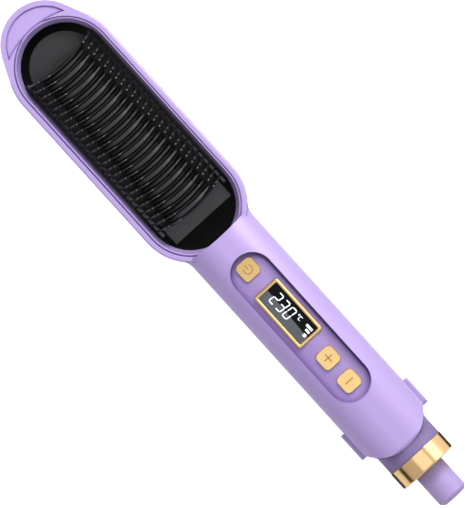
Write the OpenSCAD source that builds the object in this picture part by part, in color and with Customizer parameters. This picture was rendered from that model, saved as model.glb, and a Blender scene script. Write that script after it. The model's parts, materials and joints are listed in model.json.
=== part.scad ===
// Steam hair straightener brush, lying on its back with the comb up.
// +X runs from the head's tip to the tail, +Y across, +Z out of the comb.
// The floor is z = 0 and x = 0 is half way along the brush.

/* [Head] */
// Outer radius of the head's round ends, half its width
head_r = 25.5; // [24:0.5:27]
// Distance between the centres of the head's round ends
head_span = 82.5; // [78.91:3.59:89.68]
// Height of the head's rim above the floor
head_h = 24; // [23:0.5:25]
// Radius of the soft edge round the head's back
back_edge_r = 13; // [10:0.5:14]
// Width of the flat rim of the head frame
rim_w = 2.5; // [2:0.1:3]
// Radius on the outer edge of the rim
rim_edge_r = 1; // [0.6:0.1:1.6]
// Wall of the moulded shells
wall = 2.2; // [1.8:0.1:2.6]
// Radius of the black opening inside the funnel ring
well_r = 20.2; // [19.6:0.1:20.6]

/* [Finger tab] */
// Radius of the round finger tab at the tip
tab_r = 20; // [18:0.5:22]
// Distance of the tab's centre beyond the centre of the head's tip end
tab_out = 13.4; // [11:0.2:16]
// Radius of the underside of the tab, seen from the side
tab_sweep_r = 110; // [100:5:160]
// Radius of the outer arc of the finger recess
tab_recess_r = 17.6; // [15:0.2:17.8]
// Radius of the arc that bounds the finger recess towards the comb
tab_recess_back_r = 40; // [34:1:50]
// Distance from the tab's edge to the middle of that arc
tab_recess_back = 10.8; // [10:0.1:11]
// Depth of the finger recess
tab_recess_d = 1; // [0.4:0.1:1.4]

/* [Comb] */
// Number of comb blades
blade_count = 25; // [23:1:25]
// Distance from one blade to the next
blade_pitch = 3.59; // [3.4:0.01:3.7]
// Thickness of a blade
blade_t = 0.85; // [0.7:0.05:1]
// Radius of the arc that blades and bars follow across the head
comb_arc_r = 55; // [45:1:80]
// Height of the blades' inner beads above the floor
peak_z = 29.6; // [28:0.2:31]
// Distance of the blades' inner beads from the centre line
peak_y = 13.3; // [12.8:0.1:13.8]
// Radius of the round beads
peak_r = 0.95; // [0.8:0.05:1]
// Distance from the inner bead to the outer bead
bead_gap = 2.05; // [1.9:0.05:2.2]
// How much lower the outer bead is
bead_drop = 0.3; // [0:0.1:0.6]
// Height of the low middle of a blade
blade_mid_z = 22; // [20:0.5:23.5]
// Half the length of a blade's low middle
blade_mid_y = 7.4; // [6:0.2:9]
// Inner face of the comb's rails, from the centre line
rail_y = 17.4; // [16.8:0.1:17.8]
// Width of a comb rail
rail_w = 1.8; // [1.4:0.1:2.2]
// Height of a comb rail
rail_h = 2.6; // [1.8:0.1:3.4]
// Distance of the first blade beyond the centre of the head's tip end
comb_lead = 1.3; // [0.5:0.1:2]

// Half the length of the pointed end rib before the first blade
end_rib_y = 8.5; // [7:0.5:10]
// Thickness of the end rib in its middle
end_rib_t = 2.8; // [2:0.1:3.2]
// Height of the end rib above the floor
end_rib_z = 21.4; // [20:0.2:22]

/* [Heated plate] */
// Thickness of a heated bar
bar_t = 2.2; // [1.8:0.05:2.3]
// Height of the tall bars' crests above the floor
bar_tall_z = 25.4; // [24:0.2:26.5]
// Height of the low bars' crests above the floor
bar_low_z = 21.8; // [20:0.2:23]
// Half the length of a bar
bar_y = 12; // [10:0.5:13]
// Radius of the bars' arched crests
bar_arch_r = 17; // [15:0.5:30]
// Radius of the plate's round end, half its width
plate_r = 16.5; // [16:0.1:16.8]
// Thickness of the plate under the bars
plate_t = 1.8; // [1.4:0.1:2.2]
// Distance of the plate's straight end beyond the centre of the head's root end
plate_end = 9; // [8:0.2:10]
// Depth of the plate's top below the black surround
plate_sink = 0.6; // [0.3:0.1:1]

/* [Handle] */
// Width of the handle
handle_w = 35.5; // [33:0.5:36]
// Depth of the handle, front to back
handle_h = 31; // [30:0.5:31.5]
// Distance from the root end's centre to the handle's front edge
brow_out = 19.3; // [18.8:0.1:20]
// Radius of the handle's front edge, seen from above
brow_r = 128; // [100:4:160]
// Radius of the hollow curve where the head's sides run into the handle
neck_fillet_r = 9; // [6:0.5:12]
// Length from the root end's centre to the centre of the tail arc
handle_l = 124.1; // [123:0.1:128]
// Radius of the tail arc, seen from above
tail_r = 20.3; // [19.5:0.1:22]
// Radius on the handle's edge round the tail arc
tail_edge_r = 2.4; // [1.5:0.1:3]

/* [Control panel] */
// Distance from the handle's front edge to the recess
recess_lead = 12.2; // [11.5:0.1:13]
// Length of the recess
recess_l = 83.4; // [82.6:0.1:85]
// Width of the recess
recess_w = 20; // [19:0.2:20.4]
// Depth of the recess on the centre line
recess_d = 2; // [1.4:0.1:2.2]
// Radius of the recess's crowned floor, seen from the end
recess_crown_r = 24; // [22:1:60]
// Side of a push button
button_w = 8.8; // [8.6:0.1:9.4]
// Corner radius of a push button
button_corner_r = 2; // [1:0.1:2.6]
// How far a button stands above the recess floor
button_proud = 0.8; // [0.7:0.1:1.2]
// How far a button travels
button_travel = 0.5; // [0.3:0.05:0.6]
// Distance from the recess's start to the power button's centre
power_x = 6.9; // [6.6:0.1:7.4]
// Distance from the recess's start to the display's middle
display_x = 33.2; // [32.6:0.1:34]
// Distance from the recess's start to the plus button's centre
plus_x = 59.8; // [59:0.1:60.4]
// Distance from the recess's start to the minus button's centre
minus_x = 73.6; // [73:0.1:74.4]
// Length of the display's frame
bezel_l = 30.7; // [29:0.1:31]
// Width of the display's frame
bezel_w = 13.8; // [13:0.1:14.4]
// Width of the border of the display's frame
bezel_border = 1.5; // [1.2:0.1:1.8]
// How far the display's frame stands above the recess floor
bezel_proud = 0.9; // [0.6:0.1:1.2]

/* [Water tank] */
// Distance from the handle's front edge to the water tank
tank_lead = 54.4; // [53:0.2:62]
// Width of the water tank
tank_w = 24.4; // [22:0.2:25]
// Distance from the tank's roof up to the circuit board
tank_drop = 5.4; // [5.2:0.1:6.4]
// Wall of the tank
tank_wall = 1.2; // [1:0.1:1.5]
// Distance from the centre of the tail arc to the tank's tail end
tank_gap_x = 6.4; // [6:0.2:9]
// Step of the tank's face below the handle's back
tank_step = 0.3; // [0.25:0.05:0.5]

/* [Release buttons] */
// Length of a release button
release_l = 14.4; // [13:0.2:15]
// Height of a release button
release_h = 6.4; // [5.6:0.2:7]
// Distance from the tail arc's centre to a release button's middle, towards the tail
release_x = 4.5; // [4:0.1:5.5]
// Height of a release button's middle above the floor
release_z = 10.6; // [10:0.1:11]
// How far a release button stands out of the handle's side
release_proud = 1.9; // [1.8:0.1:2.6]
// How far a release button travels
release_travel = 1.5; // [1:0.1:1.6]

/* [Tail] */
// Radius of the neck behind the handle
neck_r = 14.15; // [13.8:0.05:14.2]
// Length of the neck that shows behind the tail arc
neck_l = 4.5; // [3:0.1:7]
// Length of the metal ring
ring_l = 8.9; // [8:0.1:11]
// How far the metal ring stands above the neck
ring_proud = 0.3; // [0.05:0.05:0.4]
// Radius of the swivel sleeve
sleeve_r = 7.35; // [7:0.05:7.6]
// Length of the sleeve that shows behind the ring
sleeve_l = 17.1; // [14:0.1:24]
// Chamfer on the end of the sleeve
sleeve_chamfer = 1.8; // [1:0.1:2.4]
// Radius of the cord's bore in the sleeve
cord_r = 3.1; // [2.6:0.1:3.5]

/* [Fits] */
// Gap between a moving button and its hole
slide_gap = 0.15; // [0.1:0.01:0.2]
// Gap between the swivel sleeve and its bearings
swivel_gap = 0.07; // [0.05:0.01:0.1]
// Gap between pieces that are fixed side by side
seam = 0.1; // [0.06:0.01:0.15]
// Gap round the removable tank
tank_gap = 0.25; // [0.2:0.05:0.35]

/* [Hidden] */

$fn = 72;
eps = 0.01;

// Colours
lilac = [0.75, 0.66, 0.93];
gold = [0.87, 0.70, 0.45];
black = [0.05, 0.05, 0.06];
anthracite = [0.23, 0.23, 0.24];
steel = [0.72, 0.73, 0.75];
clear = [0.75, 0.82, 0.88, 0.6];

// Stations along the brush, from the tip
ring_gap = 0.4;
total_l = tab_r + tab_out + head_span + handle_l + tail_r + neck_l + ring_l + ring_gap + sleeve_l;
tip_x = -total_l / 2;
tab_x = tip_x + tab_r;
tip_c = tab_x + tab_out;
root_c = tip_c + head_span;
brow_x = root_c + brow_out;
tail_c = root_c + handle_l;
tail_x = tail_c + tail_r;
neck_x = tail_x + neck_l;
ring_x = neck_x + ring_l;
sleeve_x = ring_x + ring_gap;
end_x = sleeve_x + sleeve_l;

// Heights
axis_z = handle_h / 2;
deck_z = axis_z - 0.5;
deck_t = 2;
plate_z = deck_z - plate_sink;
plate_low = plate_z - plate_t;
skirt_h = 2.4;
skirt_t = 1.6;

// Handle section
handle_flat = handle_w - handle_h;
function handle_y(z, inset = 0) =
    handle_flat / 2 + sqrt(pow(handle_h / 2 - inset, 2) - pow(z - axis_z, 2));

// Hollow curve between the head and the handle: its centre and how deep its web reaches
fillet_y = handle_w / 2 + neck_fillet_r;
fillet_x = root_c + sqrt(pow(head_r + neck_fillet_r, 2) - pow(fillet_y, 2));
fillet_web = 4;

// Head section
head_flat_r = head_r - back_edge_r;
rim_in = head_r - rim_w;
deck_r = head_r - wall - 0.4;
groove_w = 0.6;
groove_d = 1.2;
lip_w = 0.5;
foot_w = 1.1;
foot_h = 1.6;
foot_step = 0.5;
foot_step_h = 1.1;
funnel_drop = 0.3;
funnel_foot_h = 0.8;
ledge_w = 1.6;
ledge_h = 3.4;
ledge_root = 0.5;
ledge_slope = 0.4;
tab_depth = 9;

// Comb
comb_x = tip_c - comb_lead;
comb_l = (blade_count - 1) * blade_pitch;
blade_foot = deck_z + 0.4;
outer_y = peak_y + bead_gap;
notch_d = 0.7;
blade_mid_rise = 0.3;
rail_inset = 0.2;
rail_end = 1;
end_rail = 1.4;
rail_out = rail_y + rail_w;
rail_sag = comb_arc_r - sqrt(pow(comb_arc_r, 2) - pow(rail_out, 2));

// Control panel
recess_x = brow_x + recess_lead;
panel_z = handle_h - recess_d;
panel_under = panel_z - 3.2;
panel_rim = 2;
button_top = panel_z + button_proud;
button_flange = 0.8;
button_flange_t = 1.3;
button_xs = [recess_x + power_x, recess_x + plus_x, recess_x + minus_x];
display_c = recess_x + display_x;
bezel_sunk = 1.2;
bezel_seat = panel_z - bezel_sunk;
window_drop = 0.5;
lcd_margin_x = 1;
lcd_margin_y = 1.5;
front_lead = 6;
bezel_corner_r = 1.4;
window_l = bezel_l - 2 * bezel_border;
window_w = bezel_w - 2 * bezel_border;
ledge = 0.7;

// Circuit board
pcb_t = 1.6;
pcb_z = panel_under - 6.6;
pcb_w = 22;
pcb_lead = 1.5;
pcb_l = recess_l - 2 * pcb_lead;
pcb_boss_r = 2.1;
pcb_boss_y = 8.1;
screw_r = 1;
screw_head_r = 1.9;
screw_head_h = 1.3;
screw_play = 0.02;
pcb_screw_bite = 4.5;
switch_w = 6;
switch_h = 3.5;
plunger_r = 1.7;
plunger_h = 0.7;

// Heater
heater_lead = 9;
heater_x = comb_x + heater_lead;
chamber_lead = 13;
chamber_x = root_c - chamber_lead;
chamber_gap = 13.8;
heater_l = chamber_x - chamber_gap - heater_x;
heater_w = 14;
heater_t = 2.4;
sheet_t = 0.8;
bracket_t = 1;
bracket_z = plate_low - heater_t - sheet_t - bracket_t;
heater_boss_r = 2.8;
heater_boss_gap = 4.5;
bracket_screw_bite = 3.4;
bracket_end = 0.5;
bracket_lip_t = 1;
bracket_lip_h = 1.6;
sheet_end = 0.8;
sheet_side = 1;
fuse_lead = 14;
fuse_gap = 4;
fuse_drop = 2.1;
fuse_l = 10;
fuse_r = 2;
sensor_lead = 26;
sensor_gap = 3.5;
sensor_drop = 1.6;
sensor_l = 5;
sensor_r = 1.5;
heater_bosses = [heater_x - heater_boss_gap, heater_x + heater_l + heater_boss_gap];
chamber_l = 19;
chamber_w = 18;
chamber_h = 7;
chamber_ear = 5;
chamber_ear_t = 2;
chamber_ear_r = chamber_ear / 2 + 0.4;
chamber_screw_bite = 0.8;
chamber_bosses = [for (s = [-1, 1]) [chamber_x + chamber_l / 2, s * (chamber_w / 2 + chamber_ear / 2)]];
nipple_r = 1.1;
nipple_l = 4;
nipple_y = 5;
nipple_z = plate_low - chamber_h / 2 - 0.6;

// Water tank bay
tank_x0 = brow_x + tank_lead;
tank_x1 = tail_c - tank_gap_x;
tank_l = tank_x1 - tank_x0;
tank_z = pcb_z - pcb_t - tank_drop;
bay_wall = 1.5;
bay_roof_z = tank_z + tank_gap + 0.6;
port_r = 2.6;
port_lead = 7;
port_x = tank_x0 + port_lead;
port_h = 1.6;
port_wall = 1.1;
seal_t = 1.1;
seal_drop = 0.6;
cap_r = 4.5;
cap_lip = 1.4;
cap_t = 0.9;
cap_l = 3;
cap_slot_w = 1;
cap_slot_d = 0.4;
cap_play = 0.1;
cap_lead = 10;
cap_x = tank_x1 - cap_lead;
tongue_w = 12;
tongue_l = 6;
tongue_top = 7;

// Pump and tubes
pump_r = 6;
pump_l = 18;
pump_gap = 12;
pump_x = tank_x0 - pump_gap - pump_l;
pump_z = wall + 0.3 + pump_r;
tube_r = 1.4;
tube_sides = 10;
wire_r = 0.9;
end_gap = 0.3;
wire_sides = 8;
lead_start = 4;
lead_bend_x = 6;
lead_bend_y = 10.6;
lead_side_y = 11.4;
pad_inset = 6;
pad_y = 4;
cradle_t = 2;
cradle_side = 1.5;
cradle_leads = [3, 5];

// Release buttons
release_c = tail_c + release_x;
release_out = handle_w / 2 + release_proud;
release_corner_r = 2.2;
release_flange = 1;
release_flange_y = handle_y(release_z - release_h / 2 - release_flange, wall) - 0.3;
release_flange_t = 1.2;
release_arm_r = 1.5;
spring_r = 2.4;
spring_wire = 0.5;
spring_turns = 3;
spring_seat_y = release_flange_y - release_flange_t - 3.2;
spring_seat_t = 1.2;
spring_seat_w = 8;
spring_seat_over = 0.5;
spring_steps = 12;

// Housing screws, from the back
post_r = 3.1;
housing_screw_r = 1.25;
housing_head_r = 2.4;
housing_head_h = 1.8;
housing_screw_l = 7;
head_post_x = tip_c - (plate_r + 1.1);
deck_post_x = root_c + plate_end + 4.2;
brow_post_x = brow_x + 9.2;
tail_post_x = tail_c + 8.3;
post_foot = 4.6;
head_foot = 6.4;
post_cap = 1.4;
housing_posts = [[head_post_x, head_foot], [deck_post_x, head_foot],
                 [brow_post_x, post_foot], [tail_post_x, post_foot]];

// Tail
collar_x = tail_c + 11.6;
collar_grip_x = collar_x + 2.1;
collar_grip_w = 1.5;
collar_grip_d = 0.85;
spigot_r = neck_r - 1.25;
chamber_bore_r = neck_r - 4.2;
web_x = collar_x + 6;
flange_x = neck_x + 2;
ring_end = 1.1;
ring_edge_r = 0.8;
sleeve_flange_r = chamber_bore_r - 0.4;
core_r = 5;
slip_ring_w = 1.4;
slip_ring_t = 0.6;
slip_ring_leads = [1.2, 3.6];

// ---- Shared forms ----

// Handle's cross-section, drawn about its axis
module handle_section(inset = 0) {
    for (s = [-1, 1]) translate([s * handle_flat / 2, 0]) circle(handle_h / 2 - inset);
    square([handle_flat, handle_h - 2 * inset], center = true);
}

// Cross-section drawn as [y, z], run along X
module along_x(x0, x1) {
    translate([x0, 0, 0]) rotate([90, 0, 90]) linear_extrude(x1 - x0) children();
}

module handle_run(x0, x1, inset = 0) {
    along_x(x0, x1) translate([0, axis_z]) handle_section(inset);
}

// Turned form about the swivel axis, its profile drawn as [x, radius]
module turned_x() {
    translate([0, 0, axis_z]) rotate([0, 90, 0]) rotate_extrude() mirror([1, -1]) children();
}

// Half section, drawn as [radius, z], swept round the head's stadium
module head_sweep() {
    translate([tip_c, 0, 0]) rotate([0, 0, 90]) rotate_extrude(angle = 180) children();
    translate([root_c, 0, 0]) rotate([0, 0, -90]) rotate_extrude(angle = 180) children();
    for (s = [0, 1]) mirror([0, s, 0]) along_x(tip_c, root_c) children();
}

// Flat stadium round the head's centres
module head_slab(r, z0, z1) {
    translate([0, 0, z0]) linear_extrude(z1 - z0) {
        for (x = [tip_c, root_c]) translate([x, 0]) circle(r);
        translate([tip_c, -r]) square([head_span, 2 * r]);
    }
}

// Half section of the head's back, with its soft edge
module head_back_section(inset, top) {
    r = back_edge_r - inset;
    intersection() {
        translate([0, inset]) square([head_r - inset, top - inset]);
        union() {
            translate([head_flat_r, back_edge_r]) circle(r);
            translate([0, inset]) square([head_flat_r, r]);
            translate([0, back_edge_r]) square([head_r - inset, top - back_edge_r]);
        }
    }
}

// Rectangle with round corners, centred, of length l along X
module round_rect(l, w, r) {
    square([l - 2 * r, w], center = true);
    square([l, w - 2 * r], center = true);
    for (x = [-1, 1], y = [-1, 1]) translate([x * (l / 2 - r), y * (w / 2 - r)]) circle(r, $fn = 32);
}

module panel_outline(grow = 0) {
    r = recess_w / 2 + grow;
    for (x = [recess_x + recess_w / 2, recess_x + recess_l - recess_w / 2]) translate([x, 0]) circle(r);
    translate([recess_x + recess_w / 2, -r]) square([recess_l - recess_w, 2 * r]);
}

// Handle's body inside the tail arc, with its softened edge
module tail_cut(inset = 0) {
    x0 = root_c - head_r;
    r = tail_r - inset;
    e = tail_edge_r;
    translate([x0, -handle_w, -handle_h]) cube([tail_c - x0, 2 * handle_w, 3 * handle_h]);
    translate([tail_c, 0, axis_z]) rotate_extrude() {
        translate([0, -handle_h / 2]) square([r - e, handle_h]);
        translate([0, e - handle_h / 2]) square([r, handle_h - 2 * e]);
        for (z = [-1, 1]) translate([r - e, z * (handle_h / 2 - e)]) circle(e, $fn = 32);
    }
}

// Points of a polygon with n sides
function ring_points(n, r) = [for (i = [0 : n - 1]) [r * cos(360 * i / n), r * sin(360 * i / n)]];

// Direction of a route at one of its points
function route_dir(p, i) =
    let (a = p[max(i - 1, 0)], b = p[min(i + 1, len(p) - 1)]) (b - a) / norm(b - a);

// Points of a smooth route through a few chosen points
function smooth_route(p, steps = 4) =
    let (n = len(p) - 1)
    concat([for (i = [0 : n - 1], k = [0 : steps - 1])
        let (t = k / steps, a = p[max(i - 1, 0)], b = p[i], c = p[i + 1], d = p[min(i + 2, n)])
        0.5 * (2 * b + (c - a) * t + (2 * a - 5 * b + 4 * c - d) * t * t
               + (3 * b - 3 * c + d - a) * t * t * t)], [p[n]]);

// Tube of radius r along a route
module tube_along(p, r, n) {
    rings = len(p);
    pts = [for (i = [0 : rings - 1])
        let (w = route_dir(p, i), up = abs(w.z) > 0.9 ? [1, 0, 0] : [0, 0, 1],
             u = cross(up, w) / norm(cross(up, w)), v = cross(w, u))
        for (q = ring_points(n, r)) p[i] + u * q.x + v * q.y];
    faces = concat([[for (k = [0 : n - 1]) n - 1 - k]],
        [for (i = [0 : rings - 2], k = [0 : n - 1])
            let (a = i * n + k, b = i * n + (k + 1) % n) each [[a, b, b + n], [a, b + n, a + n]]],
        [[for (k = [0 : n - 1]) (rings - 1) * n + k]]);
    polyhedron(pts, [for (f = faces) [for (k = [len(f) - 1 : -1 : 0]) f[k]]]);
}

// Screw driven upwards, with the underside of its head at z = 0
module screw(r, head_r, head_h, length) {
    cylinder(h = length, r = r, $fn = 24);
    difference() {
        translate([0, 0, -head_h]) cylinder(h = head_h, r = head_r, $fn = 32);
        for (a = [0, 90]) rotate([0, 0, a])
            translate([0, 0, -head_h + 0.25]) cube([head_r * 1.2, 0.5, 0.5 + eps], center = true);
    }
}

// ---- Head ----

// Plan of the finger tab, drawn out to the head's side by its tangents
module tab_outline(inset = 0) {
    a = acos((head_r - tab_r) / tab_out);
    r0 = tab_r - inset;
    r1 = head_r - inset;
    translate([tab_x, 0]) circle(r0);
    polygon([[tab_x - r0 * cos(a), r0 * sin(a)], [tip_c - r1 * cos(a), r1 * sin(a)], [tip_c, 0],
             [tip_c - r1 * cos(a), -r1 * sin(a)], [tab_x - r0 * cos(a), -r0 * sin(a)]]);
}

// Crescent between the finger recess's two arcs
module tab_crescent(inset) {
    difference() {
        translate([tab_x, 0]) circle(tab_recess_r - inset);
        translate([tip_x + tab_recess_back + tab_recess_back_r, 0]) circle(tab_recess_back_r + inset);
    }
}

// Finger recess with a fine groove along its edge
module tab_recess() {
    translate([0, 0, head_h - tab_recess_d]) linear_extrude(tab_recess_d + 1) tab_crescent(0);
    translate([0, 0, head_h - tab_recess_d - groove_w]) linear_extrude(tab_recess_d + 1) difference() {
        tab_crescent(0);
        tab_crescent(groove_w);
    }
}

module head_frame() color(lilac) {
    difference() {
        union() {
            head_sweep() rim_section();
            intersection() {
                translate([0, 0, axis_z]) linear_extrude(head_h - axis_z) tab_outline();
                translate([tip_c, head_r, head_h + tab_sweep_r - tab_depth]) rotate([90, 0, 0])
                    cylinder(h = 2 * head_r, r = tab_sweep_r);
            }
        }
        head_slab(rim_in, deck_z, head_h + 1);
        tab_recess();
    }
    head_sweep() rim_foot();
}

// Rim wall with a rounded outer edge
module rim_section() {
    translate([rim_in - 1, axis_z]) square([rim_w + 1, head_h - rim_edge_r - axis_z]);
    translate([rim_in - 1, axis_z]) square([rim_w + 1 - rim_edge_r, head_h - axis_z]);
    translate([head_r - rim_edge_r, head_h - rim_edge_r]) circle(rim_edge_r, $fn = 32);
}

// Foot inside the rim that holds the black surround down
module rim_foot() {
    translate([rim_in - foot_w, deck_z]) square([foot_w + eps, foot_h]);
    translate([rim_in - eps, axis_z]) square([foot_step, foot_step_h]);
}

module funnel_ring() color(lilac) {
    lip_z = head_h - funnel_drop;
    lip_r = rim_in - groove_w;
    foot_r = rim_in - foot_w - seam;
    foot_z = deck_z + foot_h + seam;
    head_sweep() polygon([[well_r, deck_z], [foot_r, deck_z], [foot_r, foot_z], [rim_in - seam, foot_z],
        [rim_in - seam, head_h - groove_d], [lip_r, head_h - groove_d], [lip_r, lip_z],
        [lip_r - lip_w, lip_z], [well_r, deck_z + funnel_foot_h]]);
}

module plate_surround() color(black) {
    slot_r = plate_r + seam;
    difference() {
        union() {
            head_slab(deck_r, deck_z - deck_t, deck_z);
            plate_window(slot_r + skirt_t, plate_low - skirt_h, deck_z - deck_t + eps, skirt_t + seam);
            for (x = [head_post_x, deck_post_x])
                translate([x, 0, head_foot]) cylinder(h = deck_z - deck_t - head_foot + eps, r = post_r);
        }
        plate_window(slot_r, plate_low, deck_z + 1, seam);
        plate_window(slot_r - 1.3, plate_low - 5, plate_low + eps, seam - 1.3);
        for (x = [head_post_x, deck_post_x])
            translate([x, 0, head_foot - 1]) cylinder(h = 7, r = housing_screw_r, $fn = 24);
    }
}

// Plan of the plate: round at the tip and straight at the root
module plate_window(r, z0, z1, grow_end) {
    translate([0, 0, z0]) linear_extrude(z1 - z0) {
        translate([tip_c, 0]) circle(r);
        translate([tip_c, -r]) square([head_span + plate_end + grow_end, 2 * r]);
    }
}

// Thin arc wall across the head, bulging towards the handle, from the child's [y, z] profile
module arc_wall(x, t) {
    intersection() {
        along_x(x - rail_sag - t - 1, x + t + 1) children();
        translate([x - comb_arc_r, 0, 0]) difference() {
            cylinder(h = peak_z + 1, r = comb_arc_r + t / 2, $fn = 180);
            translate([0, 0, -1]) cylinder(h = peak_z + 3, r = comb_arc_r - t / 2, $fn = 180);
        }
    }
}

module bar_profile(top) {
    intersection() {
        translate([-bar_y, plate_low + plate_t / 2]) square([2 * bar_y, top - plate_low]);
        translate([0, top - bar_arch_r]) circle(bar_arch_r, $fn = 96);
    }
}

module heating_plate() color(anthracite) {
    difference() {
        union() {
            plate_window(plate_r, plate_low, plate_z, 0);
            for (i = [0 : blade_count - 2])
                arc_wall(comb_x + (i + 0.5) * blade_pitch, bar_t)
                    bar_profile(i % 2 == 0 ? bar_low_z : bar_tall_z);
            for (x = heater_bosses) translate([x, 0, plate_low - heater_t - sheet_t])
                cylinder(h = heater_t + sheet_t + eps, r = heater_boss_r);
        }
        for (x = heater_bosses) translate([x, 0, plate_low - heater_t - sheet_t - 1])
            cylinder(h = heater_t + sheet_t + 1.8, r = screw_r, $fn = 24);
        for (p = chamber_bosses) translate([p.x, p.y, plate_low - 1])
            cylinder(h = 2, r = screw_r, $fn = 24);
    }
}

// A blade: low in the middle, up to two round beads on each side and down to its rails
module blade_profile() {
    for (s = [-1, 1]) scale([s, 1]) {
        polygon([[-eps, blade_foot], [-eps, blade_mid_z], [blade_mid_y, blade_mid_z + blade_mid_rise],
            [peak_y - peak_r * 0.6, peak_z - peak_r * 0.5], [peak_y, peak_z - notch_d],
            [outer_y, peak_z - bead_drop - notch_d], [outer_y + peak_r * 0.8, peak_z - bead_drop - peak_r],
            [rail_out - rail_inset, deck_z + rail_h], [rail_out - rail_inset, blade_foot],
            [rail_y, blade_foot]]);
        translate([peak_y, peak_z - peak_r]) circle(peak_r, $fn = 32);
        translate([outer_y, peak_z - bead_drop - peak_r]) circle(peak_r, $fn = 32);
    }
}

// Pointed rib that backs the first blade on the tip's side
module end_rib() {
    sag = comb_arc_r - sqrt(pow(comb_arc_r, 2) - pow(end_rib_y, 2));
    r = (pow(end_rib_y, 2) + pow(end_rib_t - sag, 2)) / (2 * (end_rib_t - sag));
    translate([0, 0, blade_foot]) linear_extrude(end_rib_z - blade_foot) intersection() {
        translate([comb_x - end_rib_t + r, 0]) circle(r, $fn = 96);
        translate([comb_x - comb_arc_r, 0]) circle(comb_arc_r, $fn = 180);
    }
}

module comb_guard() color(black) {
    end_rib();
    for (i = [0 : blade_count - 1]) arc_wall(comb_x + i * blade_pitch, blade_t) blade_profile();
    for (s = [-1, 1]) translate([comb_x - rail_sag - rail_end, s > 0 ? rail_y : -rail_out, deck_z])
        cube([comb_l + rail_end + end_rail, rail_w, rail_h]);
}

// ---- Housing ----

module back_shell() color(lilac) {
    difference() {
        union() {
            difference() {
                union() {
                    head_sweep() head_back_section(0, axis_z);
                    intersection() {
                        handle_run(root_c, tail_x);
                        translate([root_c, -handle_w, 0]) cube([tail_x - root_c, 2 * handle_w, axis_z]);
                        tail_cut();
                    }
                    neck_web(-1);
                }
                head_sweep() head_back_section(wall, axis_z + 1);
                intersection() {
                    handle_run(root_c, tail_x, wall);
                    tail_cut(wall);
                }
            }
            deck_ledge();
            bay_box();
            post_sleeves();
            for (s = [-1, 1]) spring_seat(s);
            pump_cradle();
            collar_grip(-1);
        }
        translate([tank_x0 - tank_gap, -tank_w / 2 - tank_gap, -1])
            cube([tank_l + 2 * tank_gap, tank_w + 2 * tank_gap, tank_z + tank_gap + 1]);
        translate([tank_x1 - 1, -tongue_w / 2 - tank_gap, -1])
            cube([tongue_l + 1 + tank_gap, tongue_w + 2 * tank_gap, 1 + tongue_top + tank_gap]);
        translate([port_x, 0, tank_z]) cylinder(h = 5, r = port_r + seal_t);
        for (s = [-1, 1]) release_hole(s);
        screw_bores();
        collar_bore();
    }
}

// Ledge in the head that carries the black surround
module deck_ledge() {
    root = head_r - wall + ledge_root;
    top = deck_z - deck_t;
    head_sweep() polygon([[deck_r - ledge_w, top], [root, top], [root, top - ledge_h],
        [deck_r - ledge_slope, top - ledge_h]]);
}

// Walls and roof of the tank's bay
module bay_box() {
    w = tank_w + 2 * tank_gap + 2 * bay_wall;
    intersection() {
        handle_run(root_c, tail_x, wall / 2);
        translate([tank_x0 - tank_gap - bay_wall, -w / 2, 0])
            cube([tank_l + 2 * (tank_gap + bay_wall), w, bay_roof_z + bay_wall]);
    }
    intersection() {
        handle_run(root_c, tail_x, wall / 2);
        translate([tank_x1, -tongue_w / 2 - tank_gap - bay_wall, 0])
            cube([tongue_l + tank_gap + bay_wall, tongue_w + 2 * (tank_gap + bay_wall),
                  tongue_top + tank_gap + bay_wall]);
    }
}

// Web that carries the handle's side round a hollow curve into the head, below or above the seam
module neck_web(side) {
    start = atan2(fillet_y, fillet_x - root_c);
    for (s = [0, 1]) mirror([0, s, 0]) translate([fillet_x, fillet_y, axis_z])
        rotate([0, 0, 180 + start]) rotate_extrude(angle = 90 - start) intersection() {
            translate([fillet_y - handle_flat / 2, 0]) circle(handle_h / 2, $fn = 144);
            translate([0, side < 0 ? -handle_h / 2 : 0]) square([neck_fillet_r + fillet_web, handle_h / 2]);
        }
}

// Sleeves round the housing screws
module post_sleeves() {
    intersection() {
        head_sweep() head_back_section(wall / 2, axis_z);
        for (x = [head_post_x, deck_post_x]) translate([x, 0, 0]) cylinder(h = head_foot, r = post_r);
    }
    for (x = [brow_post_x, tail_post_x])
        translate([x, 0, wall / 2]) cylinder(h = post_foot - wall / 2, r = post_r);
}

module screw_bores() {
    for (p = housing_posts) translate([p[0], 0, -1]) {
        cylinder(h = p[1] + 2, r = housing_screw_r + seam, $fn = 24);
        cylinder(h = p[1] - post_cap + 1, r = housing_head_r + seam, $fn = 32);
    }
}

// Upright wall that each release spring pushes against
module spring_seat(s) {
    y = s > 0 ? spring_seat_y - spring_seat_t : -spring_seat_y;
    translate([release_c - spring_seat_w / 2, y, wall / 2])
        cube([spring_seat_w, spring_seat_t, release_z + spring_r + spring_seat_over - wall / 2]);
}

// Two ribs with round seats that carry the pump
module pump_cradle() {
    for (x = [pump_x + cradle_leads[0], pump_x + pump_l - cradle_leads[1]]) intersection() {
        handle_run(x, x + cradle_t, wall / 2);
        difference() {
            translate([x, -pump_r - cradle_side, 0]) cube([cradle_t, 2 * (pump_r + cradle_side), pump_z]);
            translate([x - 1, 0, pump_z]) rotate([0, 90, 0]) cylinder(h = cradle_t + 2, r = pump_r + seam);
        }
    }
}

// Rib inside the tail that grips the collar's groove, on the back or the front
module collar_grip(side) {
    x = collar_grip_x + seam;
    w = collar_grip_w - 2 * seam;
    intersection() {
        turned_x() translate([x, neck_r - collar_grip_d + seam]) square([w, collar_grip_d + 0.5]);
        translate([x - 1, -handle_w, side > 0 ? axis_z : 0]) cube([w + 2, 2 * handle_w, axis_z]);
    }
}

module collar_bore() {
    difference() {
        turned_x() translate([collar_x, 0]) square([tail_r, neck_r + seam]);
        turned_x() translate([collar_grip_x + seam, neck_r - collar_grip_d + seam])
            square([collar_grip_w - 2 * seam, collar_grip_d + 1]);
    }
}

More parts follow.
